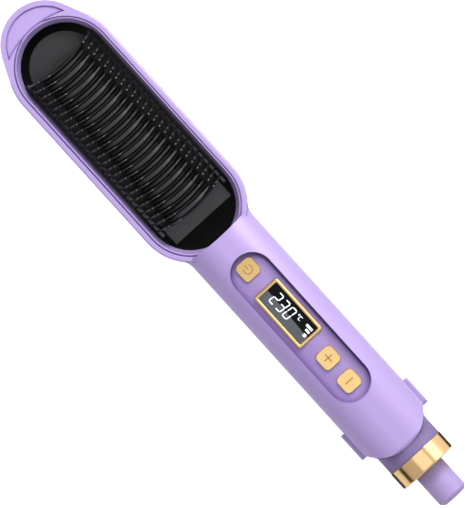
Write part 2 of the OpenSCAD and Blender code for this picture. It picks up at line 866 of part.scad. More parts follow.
module front_shell() color(lilac) {
    difference() {
        union() {
            difference() {
                intersection() {
                    handle_run(root_c, tail_x);
                    translate([root_c, -handle_w, axis_z]) cube([tail_x - root_c, 2 * handle_w, handle_h]);
                    tail_cut();
                }
                front_cavity();
                brow_cut(axis_z - 1);
            }
            difference() {
                neck_web(1);
                brow_cut(head_h + seam);
            }
            for (p = pcb_bosses()) translate([p.x, p.y, pcb_z])
                cylinder(h = panel_under - pcb_z + eps, r = pcb_boss_r, $fn = 32);
            for (x = [brow_post_x, tail_post_x]) translate([x, 0, post_foot])
                cylinder(h = handle_h - wall - post_foot, r = post_r);
            collar_grip(1);
        }
        head_slab(head_r + seam, axis_z - 1, head_h + seam);
        difference() {
            translate([0, 0, panel_z - 6]) linear_extrude(12) panel_outline();
            translate([recess_x - 1, 0, panel_z - recess_crown_r]) rotate([0, 90, 0])
                cylinder(h = recess_l + 2, r = recess_crown_r, $fn = 144);
        }
        for (x = button_xs) translate([x, 0, panel_under - 1]) linear_extrude(8)
            round_rect(button_w + 2 * slide_gap, button_w + 2 * slide_gap, button_corner_r + slide_gap);
        translate([display_c, 0, bezel_seat]) linear_extrude(5)
            round_rect(bezel_l + 2 * seam, bezel_w + 2 * seam, bezel_corner_r + seam);
        translate([display_c, 0, panel_under - 1]) linear_extrude(8)
            square([window_l - 2 * ledge, window_w - 2 * ledge], center = true);
        for (p = pcb_bosses()) translate([p.x, p.y, pcb_z - 1])
            cylinder(h = 6, r = screw_r, $fn = 24);
        for (x = [brow_post_x, tail_post_x]) translate([x, 0, post_foot - 1])
            cylinder(h = 9, r = housing_screw_r, $fn = 24);
        collar_bore();
    }
}

// Everything on the head's side of the handle's curved front edge, from a height up
module brow_cut(z) {
    translate([brow_x - brow_r, 0, z]) cylinder(h = handle_h, r = brow_r, $fn = 180);
}

function pcb_bosses() = [for (x = [button_xs[0], button_xs[2]], y = [-1, 1]) [x, y * pcb_boss_y]];

// Hollow of the front shell, with a thick panel under the recess
module front_cavity() {
    difference() {
        intersection() {
            handle_run(brow_x + front_lead, tail_x, wall);
            tail_cut(wall);
        }
        translate([0, 0, panel_under]) linear_extrude(handle_h) panel_outline(panel_rim);
    }
}

// ---- Controls ----

module push_button(x) {
    translate([x, 0, panel_under - seam * 2]) linear_extrude(button_top - panel_under + seam * 2)
        round_rect(button_w, button_w, button_corner_r);
    translate([x, 0, panel_under - seam * 2 - button_flange_t]) linear_extrude(button_flange_t)
        round_rect(button_w + 2 * button_flange, button_w + 2 * button_flange, button_corner_r);
    stem_z = pcb_z + switch_h + plunger_h + button_travel + slide_gap;
    translate([x, 0, stem_z]) cylinder(h = panel_under - button_flange_t - stem_z, r = plunger_r, $fn = 32);
}

module power_button() color(gold) push_button(button_xs[0]);

module plus_button() color(gold) push_button(button_xs[1]);

module minus_button() color(gold) push_button(button_xs[2]);

module display_bezel() color(gold) {
    translate([display_c, 0, bezel_seat]) linear_extrude(panel_z + bezel_proud - bezel_seat) difference() {
        round_rect(bezel_l, bezel_w, bezel_corner_r);
        square([window_l, window_w], center = true);
    }
}

module display_window() color(black) {
    t = panel_z + bezel_proud - window_drop - bezel_seat;
    translate([display_c, 0, bezel_seat + t / 2])
        cube([window_l - 2 * seam, window_w - 2 * seam, t], center = true);
}

module lcd_module() color(anthracite) {
    translate([display_c - window_l / 2 - lcd_margin_x, -window_w / 2 - lcd_margin_y, pcb_z])
        cube([window_l + 2 * lcd_margin_x, window_w + 2 * lcd_margin_y, panel_under - pcb_z]);
    translate([display_c - window_l / 2 + ledge + seam, -window_w / 2 + ledge + seam, panel_under - eps])
        cube([window_l - 2 * (ledge + seam), window_w - 2 * (ledge + seam), bezel_seat - seam - panel_under]);
}

module main_pcb() color([0.1, 0.35, 0.2]) {
    difference() {
        translate([recess_x + pcb_lead, -pcb_w / 2, pcb_z - pcb_t]) cube([pcb_l, pcb_w, pcb_t]);
        for (p = pcb_bosses()) translate([p.x, p.y, pcb_z - pcb_t - 1])
            cylinder(h = pcb_t + 2, r = screw_r + seam, $fn = 24);
    }
}

module button_switches() color(black) {
    for (x = button_xs) translate([x, 0, pcb_z]) {
        translate([-switch_w / 2, -switch_w / 2, 0]) cube([switch_w, switch_w, switch_h]);
        cylinder(h = switch_h + plunger_h, r = plunger_r, $fn = 32);
    }
}

module pcb_screws() color(steel) {
    for (p = pcb_bosses()) translate([p.x, p.y, pcb_z - pcb_t])
        screw(screw_r - screw_play, screw_head_r, screw_head_h, pcb_t + pcb_screw_bite);
}

// ---- Heater and steam ----

module heater_element() color([0.9, 0.88, 0.82]) {
    translate([heater_x, -heater_w / 2, plate_low - heater_t]) cube([heater_l, heater_w, heater_t]);
}

module insulation_sheet() color([0.8, 0.7, 0.5]) {
    translate([heater_x - sheet_end, -heater_w / 2 - sheet_side, plate_low - heater_t - sheet_t])
        cube([heater_l + 2 * sheet_end, heater_w + 2 * sheet_side, sheet_t]);
}

module heater_bracket() color(steel) {
    x0 = heater_bosses[0] - heater_boss_r - bracket_end;
    side = heater_w / 2 - bracket_lip_t;
    difference() {
        union() {
            translate([x0, -side, bracket_z])
                cube([heater_bosses[1] + heater_boss_r + bracket_end - x0, 2 * side, bracket_t]);
            for (y = [-1, 1]) translate([heater_x, y * side - bracket_lip_t / 2, bracket_z - bracket_lip_h])
                cube([heater_l, bracket_lip_t, bracket_lip_h + bracket_t]);
        }
        for (x = heater_bosses) translate([x, 0, bracket_z - 1])
            cylinder(h = bracket_t + 2, r = screw_r + seam, $fn = 24);
    }
}

module heater_screws() color(steel) {
    for (x = heater_bosses) translate([x, 0, bracket_z])
        screw(screw_r - screw_play, screw_head_r, screw_head_h, bracket_t + bracket_screw_bite);
    for (p = chamber_bosses) translate([p.x, p.y, plate_low - chamber_ear_t])
        screw(screw_r - screw_play, screw_head_r, screw_head_h, chamber_ear_t + chamber_screw_bite);
}

module thermal_fuse() color([0.7, 0.72, 0.6]) {
    translate([heater_x + fuse_lead, heater_w / 2 + fuse_gap, plate_low - fuse_drop]) rotate([0, 90, 0])
        cylinder(h = fuse_l, r = fuse_r, $fn = 32);
}

module thermistor() color([0.2, 0.2, 0.22]) {
    translate([heater_x + sensor_lead, -heater_w / 2 - sensor_gap, plate_low - sensor_drop])
        rotate([0, 90, 0]) cylinder(h = sensor_l, r = sensor_r, $fn = 32);
}

module steam_chamber() color(steel) {
    difference() {
        union() {
            translate([chamber_x, -chamber_w / 2, plate_low - chamber_h])
                cube([chamber_l, chamber_w, chamber_h]);
            for (p = chamber_bosses) translate([p.x, p.y, plate_low - chamber_ear_t])
                cylinder(h = chamber_ear_t, r = chamber_ear_r, $fn = 32);
            translate([chamber_x + chamber_l - eps, nipple_y, nipple_z]) rotate([0, 90, 0])
                cylinder(h = nipple_l, r = nipple_r, $fn = 32);
        }
        for (p = chamber_bosses) translate([p.x, p.y, plate_low - chamber_ear_t - 1])
            cylinder(h = chamber_ear_t + 2, r = screw_r + seam, $fn = 24);
    }
}

module heater_leads() color([0.8, 0.15, 0.12]) {
    x0 = heater_x + heater_l - lead_start;
    x1 = recess_x + pcb_lead + pad_inset;
    side = heater_w / 2;
    board = pcb_z - pcb_t;
    for (s = [-1, 1]) tube_along(smooth_route([
        [x0, s * (side + end_gap), plate_low - 1.2], [x0, s * (side + 2.2), plate_low - 1.3],
        [x0 + lead_bend_x, s * lead_bend_y, plate_low - 2.8],
        [chamber_x - 2, s * lead_side_y, plate_low - 5.4],
        [chamber_x + chamber_l / 2, s * lead_side_y, plate_low - 6],
        [chamber_x + chamber_l + 1, s * 11, plate_low - 5.8], [deck_post_x, s * 8.6, plate_low - 5.6],
        [brow_x + 2.4, s * 8.2, plate_low - 5.6], [brow_post_x + 1, s * 7.6, plate_low - 3.8],
        [x1 - 3, s * 6, axis_z - 1], [x1 - 0.2, s * 4.2, board - 2], [x1, s * pad_y, board - end_gap]]),
        wire_r, wire_sides);
}

module power_leads() color([0.15, 0.15, 0.16]) {
    x0 = recess_x + pcb_lead + pcb_l - pad_inset;
    for (s = [-1, 1]) tube_along(smooth_route([
        [x0, s * pad_y, pcb_z + end_gap], [x0 + 1, s * 4.2, pcb_z + 2.4], [x0 + 8, s * 6, axis_z + 5.5],
        [tail_post_x - 2, s * 7.4, axis_z + 2], [collar_x - 2.4, s * 7.6, axis_z],
        [collar_x - end_gap, s * 7.6, axis_z]]), wire_r, wire_sides);
}

module water_pump() color(anthracite) {
    translate([pump_x, 0, pump_z]) rotate([0, 90, 0]) {
        cylinder(h = pump_l, r = pump_r);
        translate([0, 0, -nipple_l]) cylinder(h = nipple_l + eps, r = nipple_r, $fn = 32);
        translate([0, 0, pump_l - eps]) cylinder(h = nipple_l, r = nipple_r, $fn = 32);
    }
}

module suction_tube() color(clear) {
    x0 = pump_x + pump_l + nipple_l;
    bay_x = tank_x0 - tank_gap - bay_wall;
    top = bay_roof_z + bay_wall + tube_r + 0.1;
    tube_along(smooth_route([
        [x0 + end_gap, 0, pump_z], [bay_x - 4.6, 0, pump_z + 0.3], [bay_x - 3.2, 0, pump_z + 3.4],
        [bay_x - 2.6, 0, top - 1.8], [bay_x - 1.3, 0, top - 0.1], [bay_x + 1.5, 0, top],
        [port_x + 1, 0, top]]), tube_r, tube_sides);
}

module steam_tube() color(clear) {
    x0 = chamber_x + chamber_l + nipple_l;
    low = pump_z - 1.2;
    tube_along(smooth_route([
        [x0 + end_gap, nipple_y, nipple_z], [x0 + 3, nipple_y, nipple_z - 0.2], [brow_x, nipple_y, low],
        [brow_post_x - 3, nipple_y, low], [brow_post_x + 3.6, nipple_y, low + 0.3],
        [pump_x - nipple_l - 4.6, 3.2, pump_z - 0.4], [pump_x - nipple_l - 2, 0.5, pump_z],
        [pump_x - nipple_l - end_gap, 0, pump_z]]),
        tube_r, tube_sides);
}

// ---- Water tank ----

module water_tank() color(clear) {
    difference() {
        union() {
            tank_body(0);
            translate([port_x, 0, tank_z - eps]) cylinder(h = port_h, r = port_r - seam, $fn = 32);
            intersection() {
                handle_run(tank_x1 - 1, tank_x1 + tongue_l, tank_step);
                translate([tank_x1 - 1, -tongue_w / 2, 0]) cube([tongue_l + 1, tongue_w, tongue_top]);
            }
        }
        tank_body(tank_wall);
        translate([port_x, 0, tank_z - 3]) cylinder(h = 6, r = port_r - port_wall, $fn = 32);
        translate([cap_x, 0, -1]) cylinder(h = tank_wall + 3, r = cap_r - cap_lip, $fn = 48);
        translate([cap_x, 0, -1]) cylinder(h = 1 + tank_step + 1, r = cap_r + seam, $fn = 48);
    }
}

module tank_body(inset) {
    intersection() {
        handle_run(tank_x0 + inset, tank_x1 - inset, tank_step + inset);
        translate([tank_x0, -tank_w / 2 + inset, 0]) cube([tank_l, tank_w - 2 * inset, tank_z - inset]);
    }
}

module tank_cap() color(anthracite) {
    translate([cap_x, 0, tank_step + cap_play]) difference() {
        union() {
            cylinder(h = cap_t, r = cap_r, $fn = 48);
            cylinder(h = cap_l, r = cap_r - cap_lip - seam, $fn = 48);
        }
        translate([-cap_r, -cap_slot_w / 2, -1]) cube([2 * cap_r, cap_slot_w, 1 + cap_slot_d]);
    }
}

module tank_seal() color([0.15, 0.15, 0.16]) {
    translate([port_x, 0, bay_roof_z - seal_drop]) difference() {
        cylinder(h = bay_wall + seal_drop, r = port_r + seal_t - seam, $fn = 32);
        translate([0, 0, -1]) cylinder(h = 4, r = port_r, $fn = 32);
    }
}

// ---- Tank release ----

// Plan of a release button, seen from the side
module release_outline(grow = 0) {
    round_rect(release_l + 2 * grow, release_h + 2 * grow, release_corner_r + grow);
}

module release_hole(s) {
    translate([release_c, 0, release_z]) rotate([s > 0 ? -90 : 90, 0, 0])
        translate([0, 0, spring_seat_y]) linear_extrude(handle_w) release_outline(slide_gap);
}

module release_button(s) {
    translate([release_c, 0, release_z]) rotate([s > 0 ? -90 : 90, 0, 0]) {
        translate([0, 0, release_flange_y - eps])
            linear_extrude(release_out - release_flange_y) release_outline();
        translate([0, 0, release_flange_y - release_flange_t]) linear_extrude(release_flange_t)
            round_rect(release_l - 2, release_h + 2 * release_flange, release_corner_r);
        translate([0, 0, spring_seat_y + release_travel + slide_gap])
            cylinder(h = release_flange_y - spring_seat_y - release_travel - 0.5,
                     r = release_arm_r, $fn = 32);
    }
}

module release_button_left() color(lilac) release_button(1);

module release_button_right() color(lilac) release_button(-1);

// Coil spring between its seat and the button's flange
module release_spring(s) {
    len = release_flange_y - release_flange_t - spring_seat_y - 2 * seam;
    n = spring_turns * spring_steps;
    rise = len - spring_wire;
    tube_along([for (i = [0 : n]) [
        release_c + (spring_r - spring_wire / 2) * cos(360 * i / spring_steps),
        s * (spring_seat_y + seam + spring_wire / 2 + rise * i / n),
        release_z + (spring_r - spring_wire / 2) * sin(360 * i / spring_steps)]], spring_wire / 2, 6);
}

module release_spring_left() color(steel) release_spring(1);

module release_spring_right() color(steel) release_spring(-1);

module housing_screws() color(steel) {
    for (p = housing_posts) translate([p[0], 0, p[1] - post_cap])
        screw(housing_screw_r - screw_play, housing_head_r, housing_head_h, housing_screw_l);
}

// ---- Tail ----

module tail_collar() color(lilac) {
    turned_x() difference() {
        union() {
            translate([collar_x + seam, 0]) square([neck_x - collar_x - seam, neck_r]);
            translate([neck_x - 1, 0]) square([ring_l - ring_end - seam + 1, spigot_r]);
        }
        translate([collar_grip_x, neck_r - collar_grip_d]) square([collar_grip_w, collar_grip_d + 1]);
        translate([collar_x, -eps]) square([web_x - collar_x, chamber_bore_r]);
        translate([web_x - eps, -eps]) square([flange_x - web_x + 1, sleeve_r + swivel_gap]);
        translate([flange_x, -eps]) square([ring_l, chamber_bore_r]);
    }
}

module gold_ring() color(gold) {
    r = neck_r + ring_proud;
    turned_x() difference() {
        union() {
            translate([neck_x, 0]) square([ring_l - ring_edge_r, r]);
            translate([neck_x, 0]) square([ring_l, r - ring_edge_r]);
            translate([ring_x - ring_edge_r, r - ring_edge_r]) circle(ring_edge_r, $fn = 32);
        }
        translate([neck_x - 1, 0]) square([ring_l - ring_end + 1, spigot_r + seam / 2]);
        translate([neck_x, -eps]) square([ring_l + 1, sleeve_r + swivel_gap]);
    }
}

module swivel_sleeve() color(lilac) {
    x0 = collar_x + 0.5;
    x1 = web_x + 0.3;
    x2 = flange_x + 0.2;
    x3 = ring_x - ring_end - 0.2;
    turned_x() polygon([[x0, cord_r], [x0, core_r], [x1, core_r], [x1, sleeve_r], [x2, sleeve_r],
        [x2, sleeve_flange_r], [x3, sleeve_flange_r], [x3, sleeve_r], [end_x - sleeve_chamfer, sleeve_r],
        [end_x, sleeve_r - sleeve_chamfer], [end_x, cord_r]]);
}

module slip_rings() color(gold) {
    for (lead = slip_ring_leads)
        turned_x() translate([collar_x + lead, core_r]) square([slip_ring_w, slip_ring_t]);
}

module contact_block() color(anthracite) {
    turned_x() difference() {
        translate([collar_x + seam, 0]) square([web_x - collar_x - 2 * seam, chamber_bore_r - seam / 2]);
        translate([collar_x - 1, -eps]) square([web_x - collar_x + 2, core_r + slip_ring_t + swivel_gap]);
    }
}

head_frame();
funnel_ring();
plate_surround();
heating_plate();
comb_guard();
back_shell();
front_shell();
power_button();
plus_button();
minus_button();
display_bezel();
display_window();
lcd_module();
main_pcb();
button_switches();
pcb_screws();
heater_element();
insulation_sheet();
heater_bracket();
heater_screws();
thermal_fuse();
thermistor();
steam_chamber();
heater_leads();
power_leads();
water_pump();
suction_tube();
steam_tube();
water_tank();
tank_cap();
tank_seal();
release_button_left();
release_button_right();
release_spring_left();
release_spring_right();
housing_screws();
tail_collar();
gold_ring();
swivel_sleeve();
slip_rings();
contact_block();
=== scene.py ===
# %% [markdown]
# # A hot comb brush in lilac plastic, black and gold
# The brush lies on its back, comb up. Its shells, its tank and everything inside
# come from the imported model, which is loaded first and never moved. This lesson
# gives those pieces their finish and makes by hand what a close look needs: the
# comb, the heated bars, the signs on the pressed gold buttons, the marks on the lit
# display and the release coils.

# %% The imported model
import json
import math

import bmesh
import bpy
from mathutils import Matrix, Vector


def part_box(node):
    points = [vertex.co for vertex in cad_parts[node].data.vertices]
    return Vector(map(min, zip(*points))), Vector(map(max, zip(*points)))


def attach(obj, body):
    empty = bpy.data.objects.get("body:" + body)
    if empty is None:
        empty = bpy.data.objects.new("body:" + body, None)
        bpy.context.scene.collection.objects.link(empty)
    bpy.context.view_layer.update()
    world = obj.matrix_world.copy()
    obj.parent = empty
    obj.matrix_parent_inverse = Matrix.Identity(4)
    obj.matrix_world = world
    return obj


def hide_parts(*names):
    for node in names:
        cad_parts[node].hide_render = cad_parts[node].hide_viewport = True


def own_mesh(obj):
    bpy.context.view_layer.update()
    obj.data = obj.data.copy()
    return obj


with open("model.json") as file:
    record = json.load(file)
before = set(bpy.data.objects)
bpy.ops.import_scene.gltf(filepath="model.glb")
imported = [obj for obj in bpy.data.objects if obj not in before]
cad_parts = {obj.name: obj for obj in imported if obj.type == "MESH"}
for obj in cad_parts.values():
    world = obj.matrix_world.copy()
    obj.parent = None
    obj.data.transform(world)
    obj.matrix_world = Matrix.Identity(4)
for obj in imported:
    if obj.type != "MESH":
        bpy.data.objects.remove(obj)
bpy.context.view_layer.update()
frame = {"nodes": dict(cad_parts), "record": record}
NODES = frame["nodes"]
MM = 0.001

# %% [markdown]
# ## Where things are
# Nothing here is fitted by eye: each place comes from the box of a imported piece,
# so the looks follow when the model changes.

# %% Stations along the brush
head_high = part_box("head_frame")[1]
HEAD_R = head_high[1]
ROOT_C = head_high[0] - HEAD_R
well_low, well_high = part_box("funnel_ring")
TIP_C = well_low[0] + well_high[1]
DECK_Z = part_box("plate_surround")[1][2]
print("head centres in mm:", round(TIP_C / MM, 2), round(ROOT_C / MM, 2))

# %% [markdown]
# ## Camera
# The photo was taken from almost straight above with a long lens, turned so that
# the brush runs from the upper left to the lower right. The camera leans by a
# degree or so, so that the wall of the well shows more on one side than on the other.

# %% Camera
VIEW_TURN = math.radians(47.83)
LEAN_SIDE = math.radians(1.0)
LEAN_TIP = math.radians(0.2)
LENS_MM = 640
PHOTO_PX = 508
MM_PER_PX = 0.4445
PHOTO_SIDE = PHOTO_PX * MM_PER_PX * MM
SENSOR_MM = 36
AIM = Vector((-1.0 * MM, -0.72 * MM, 20 * MM))


def make_camera():
    """The photo's camera: a long lens that looks almost straight down."""
    data = bpy.data.cameras.new("photo_camera")
    data.lens = LENS_MM
    data.sensor_width = SENSOR_MM
    data.clip_start = 0.05
    camera = bpy.data.objects.new("photo_camera", data)
    bpy.context.scene.collection.objects.link(camera)
    back = Vector((-math.tan(LEAN_TIP), math.tan(LEAN_SIDE), 1)).normalized()
    up = Vector((-math.sin(VIEW_TURN), math.cos(VIEW_TURN), 0))
    up = (up - back * up.dot(back)).normalized()
    right = up.cross(back)
    distance = PHOTO_SIDE / SENSOR_MM * LENS_MM
    turn = Matrix((right, up, back)).transposed()
    camera.matrix_world = Matrix.Translation(AIM + back * distance) @ turn.to_4x4()
    bpy.context.scene.camera = camera
    return camera


camera = make_camera()
print("camera height in mm:", round(camera.matrix_world.translation.z / MM))

# %% [markdown]
# ## Small helpers
# A finished piece sits at the origin with its place in its mesh. These helpers
# link a mesh, give it its material and tie it to the body that carries it.

# %% Linking a piece


def link_piece(name, mesh, material, body="root"):
    """A finished mesh as a piece that rides on a body of the model."""
    piece = bpy.data.objects.new(name, mesh)
    bpy.context.scene.collection.objects.link(piece)
    if material is not None and not mesh.materials:
        mesh.materials.append(material)
    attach(piece, body)
    return piece


def mesh_from(name, bm, smooth_angle=None):
    """A mesh from bmesh, its faces turned outwards, smooth up to an angle."""
    bmesh.ops.recalc_face_normals(bm, faces=bm.faces)
    mesh = bpy.data.meshes.new(name)
    bm.to_mesh(mesh)
    bm.free()
    if smooth_angle is not None:
        mesh.polygons.foreach_set("use_smooth", [True] * len(mesh.polygons))
        mesh.set_sharp_from_angle(angle=smooth_angle)
    return mesh


# %% [markdown]
# ## Shared finishes
# Three effects come back in many materials, so each is a node group: a fine
# moulded grain, a slow drift of colour, and the brushed lines of plated metal.

# %% Node helpers


def new_group(name, inputs, outputs):
    """An empty shader group with named sockets, and its two end nodes."""
    group = bpy.data.node_groups.new(name, "ShaderNodeTree")
    for label, kind, value in inputs:
        socket = group.interface.new_socket(label, in_out="INPUT", socket_type=kind)
        socket.default_value = value
    for label, kind in outputs:
        group.interface.new_socket(label, in_out="OUTPUT", socket_type=kind)
    return group, group.nodes.new("NodeGroupInput"), group.nodes.new("NodeGroupOutput")


def add_math(nodes, links, operation, a, b):
    """A Math node on two values, each a socket or a number."""
    node = nodes.new("ShaderNodeMath")
    node.operation = operation
    for socket, value in zip(node.inputs, (a, b)):
        if isinstance(value, (int, float)):
            socket.default_value = value
        else:
            links.new(value, socket)
    return node.outputs[0]


# %% Group: moulded grain


def make_grain_group():
    """Fine grain of moulded plastic: a normal and a roughness that varies."""
    group, start, end = new_group(
        "moulded_grain",
        [("Scale", "NodeSocketFloat", 900.0), ("Depth", "NodeSocketFloat", 0.02),
         ("Roughness", "NodeSocketFloat", 0.35), ("Spread", "NodeSocketFloat", 0.06)],
        [("Normal", "NodeSocketVector"), ("Roughness", "NodeSocketFloat")])
    nodes, links = group.nodes, group.links
    place = nodes.new("ShaderNodeTexCoord")
    fine = nodes.new("ShaderNodeTexNoise")
    links.new(place.outputs["Object"], fine.inputs["Vector"])
    links.new(start.outputs["Scale"], fine.inputs["Scale"])
    fine.inputs["Detail"].default_value = 3
    bump = nodes.new("ShaderNodeBump")
    bump.inputs["Distance"].default_value = 0.05 * MM
    links.new(start.outputs["Depth"], bump.inputs["Strength"])
    links.new(fine.outputs["Fac"], bump.inputs["Height"])
    links.new(bump.outputs["Normal"], end.inputs["Normal"])
    broad = nodes.new("ShaderNodeTexNoise")
    links.new(place.outputs["Object"], broad.inputs["Vector"])
    broad.inputs["Scale"].default_value = 45
    broad.inputs["Detail"].default_value = 4
    swing = add_math(nodes, links, "SUBTRACT", broad.outputs["Fac"], 0.5)
    swing = add_math(nodes, links, "MULTIPLY", swing, start.outputs["Spread"])
    links.new(add_math(nodes, links, "ADD", swing, start.outputs["Roughness"]), end.inputs["Roughness"])
    return group


GRAIN = make_grain_group()

# %% Group: colour drift


def make_drift_group():
    """Two close tones of one colour, mixed by a slow noise."""
    group, start, end = new_group(
        "colour_drift",
        [("Light", "NodeSocketColor", (1, 1, 1, 1)), ("Deep", "NodeSocketColor", (0, 0, 0, 1)),
         ("Scale", "NodeSocketFloat", 30.0)],
        [("Color", "NodeSocketColor")])
    nodes, links = group.nodes, group.links
    place = nodes.new("ShaderNodeTexCoord")
    noise = nodes.new("ShaderNodeTexNoise")
    links.new(place.outputs["Object"], noise.inputs["Vector"])
    links.new(start.outputs["Scale"], noise.inputs["Scale"])
    noise.inputs["Detail"].default_value = 5
    mix = nodes.new("ShaderNodeMix")
    mix.data_type = "RGBA"
    links.new(noise.outputs["Fac"], mix.inputs["Factor"])
    links.new(start.outputs["Deep"], mix.inputs[6])
    links.new(start.outputs["Light"], mix.inputs[7])
    links.new(mix.outputs[2], end.inputs["Color"])
    return group


DRIFT = make_drift_group()

# %% Group: brushed lines


def make_brush_group():
    """Fine lines of brushed metal that run along Y."""
    group, start, end = new_group(
        "brushed_lines",
        [("Scale", "NodeSocketFloat", 400.0), ("Stretch", "NodeSocketFloat", 0.03),
         ("Depth", "NodeSocketFloat", 0.1), ("Roughness", "NodeSocketFloat", 0.25),
         ("Spread", "NodeSocketFloat", 0.15)],
        [("Normal", "NodeSocketVector"), ("Roughness", "NodeSocketFloat"),
         ("Lines", "NodeSocketFloat")])
    nodes, links = group.nodes, group.links
    place = nodes.new("ShaderNodeTexCoord")
    squeeze = nodes.new("ShaderNodeCombineXYZ")
    squeeze.inputs["X"].default_value = 1
    links.new(start.outputs["Stretch"], squeeze.inputs["Y"])
    squeeze.inputs["Z"].default_value = 1
    scaled = nodes.new("ShaderNodeVectorMath")
    scaled.operation = "MULTIPLY"
    links.new(place.outputs["Object"], scaled.inputs[0])
    links.new(squeeze.outputs["Vector"], scaled.inputs[1])
    noise = nodes.new("ShaderNodeTexNoise")
    links.new(scaled.outputs["Vector"], noise.inputs["Vector"])
    links.new(start.outputs["Scale"], noise.inputs["Scale"])
    noise.inputs["Detail"].default_value = 6
    bump = nodes.new("ShaderNodeBump")
    bump.inputs["Distance"].default_value = 0.02 * MM
    links.new(start.outputs["Depth"], bump.inputs["Strength"])
    links.new(noise.outputs["Fac"], bump.inputs["Height"])
    links.new(bump.outputs["Normal"], end.inputs["Normal"])
    swing = add_math(nodes, links, "SUBTRACT", noise.outputs["Fac"], 0.5)
    swing = add_math(nodes, links, "MULTIPLY", swing, start.outputs["Spread"])
    links.new(add_math(nodes, links, "ADD", swing, start.outputs["Roughness"]), end.inputs["Roughness"])
    links.new(noise.outputs["Fac"], end.inputs["Lines"])
    return group


BRUSHED = make_brush_group()
print("shader groups:", [g.name for g in bpy.data.node_groups])

# %% [markdown]
# ## Materials
# Every finish is a Principled shader whose colour, roughness and normal vary a
# little over the surface. What is the same all over is set on the shader itself.

# %% Material makers


def linear(red, green, blue):
    """A colour read off in 0 to 255 steps, as the linear colour a shader wants."""
    def step(value):
        value = value / 255
        return value / 12.92 if value <= 0.04045 else ((value + 0.055) / 1.055) ** 2.4
    return (step(red), step(green), step(blue), 1)


def group_node(nodes, group, **values):
    """A node that places a group, with its inputs set by name."""
    node = nodes.new("ShaderNodeGroup")
    node.node_tree = group
    for label, value in values.items():
        node.inputs[label].default_value = value
    return node


def add_corner_shade(material, reach, strength):
    """Corners and seams take less light: the colour deepens where they close in."""
    nodes, links = material.node_tree.nodes, material.node_tree.links
    shader = nodes["Principled BSDF"]
    colour = shader.inputs["Base Color"].links[0].from_socket
    shade = nodes.new("ShaderNodeAmbientOcclusion")
    shade.samples = 8
    shade.inputs["Distance"].default_value = reach
    open_part = nodes.new("ShaderNodeMapRange")
    links.new(shade.outputs["AO"], open_part.inputs["Value"])
    open_part.inputs["From Min"].default_value = 0.35
    open_part.inputs["To Min"].default_value = 1 - strength
    deepen = nodes.new("ShaderNodeMix")
    deepen.data_type = "RGBA"
    deepen.blend_type = "MULTIPLY"
    deepen.inputs["Factor"].default_value = 1
    links.new(colour, deepen.inputs[6])
    links.new(open_part.outputs["Result"], deepen.inputs[7])
    links.new(deepen.outputs[2], shader.inputs["Base Color"])


def add_recess_shade(material, x0, x1, radius, slant, floor_tone, wall_shadow):
    """Painted shade on the sunk control panel: its floor is darkened by a flat factor, and most in a
    painted shadow under its upper and head-end wall.
    """
    nodes, links = material.node_tree.nodes, material.node_tree.links
    shader = nodes["Principled BSDF"]
    colour = shader.inputs["Base Color"].links[0].from_socket
    place = nodes.new("ShaderNodeTexCoord")
    split = nodes.new("ShaderNodeSeparateXYZ")
    links.new(place.outputs["Object"], split.inputs["Vector"])

    def depth_inside(dx, dy):
        along = add_math(nodes, links, "ADD", split.outputs["X"], dx)
        across = add_math(nodes, links, "ADD", split.outputs["Y"], dy)
        held = add_math(nodes, links, "MAXIMUM", along, x0 + radius)
        held = add_math(nodes, links, "MINIMUM", held, x1 - radius)
        past = add_math(nodes, links, "SUBTRACT", along, held)
        square = add_math(nodes, links, "MULTIPLY", past, past)
        side = add_math(nodes, links, "MULTIPLY", across, across)
        far = add_math(nodes, links, "SQRT", add_math(nodes, links, "ADD", square, side), 0)
        return add_math(nodes, links, "SUBTRACT", radius, far)

    def ramp(value, low, high, to_low, to_high):
        node = nodes.new("ShaderNodeMapRange")
        node.interpolation_type = "SMOOTHSTEP"
        links.new(value, node.inputs["Value"])
        node.inputs["From Min"].default_value = low
        node.inputs["From Max"].default_value = high
        node.inputs["To Min"].default_value = to_low
        node.inputs["To Max"].default_value = to_high
        return node.outputs["Result"]

    # Painted shadow: the outline is shifted towards the light, so the colour darkens under the upper and
    # head-end wall.
    under = ramp(depth_inside(-0.5 * slant, 0.85 * slant), -2.6 * MM, 5.0 * MM, 0, 1)
    tone = nodes.new("ShaderNodeMix")
    tone.data_type = "RGBA"
    links.new(under, tone.inputs["Factor"])
    tone.inputs[6].default_value = (*wall_shadow, 1)
    tone.inputs[7].default_value = (*floor_tone, 1)
    inside = ramp(depth_inside(0, 0), 0, 0.25 * MM, 0, 1)
    deepen = nodes.new("ShaderNodeMix")
    deepen.data_type = "RGBA"
    deepen.blend_type = "MULTIPLY"
    links.new(inside, deepen.inputs["Factor"])
    links.new(colour, deepen.inputs[6])
    links.new(tone.outputs[2], deepen.inputs[7])
    links.new(deepen.outputs[2], shader.inputs["Base Color"])


def plastic(name, light, deep, roughness=0.35, spread=0.06, depth=0.02, grain=900,
            coat=0.0, coat_roughness=0.1, drift=30, specular=0.5):
    """Moulded plastic: two close tones, fine grain and an optional clear gloss."""
    material = bpy.data.materials.new(name)
    material.use_nodes = True
    nodes, links = material.node_tree.nodes, material.node_tree.links
    shader = nodes["Principled BSDF"]
    colour = group_node(nodes, DRIFT, Light=light, Deep=deep, Scale=drift)
    surface = group_node(nodes, GRAIN, Scale=grain, Depth=depth, Roughness=roughness, Spread=spread)
    links.new(colour.outputs["Color"], shader.inputs["Base Color"])
    links.new(surface.outputs["Normal"], shader.inputs["Normal"])
    links.new(surface.outputs["Roughness"], shader.inputs["Roughness"])
    shader.inputs["Coat Weight"].default_value = coat
    shader.inputs["Coat Roughness"].default_value = coat_roughness
    shader.inputs["Specular IOR Level"].default_value = specular
    return material


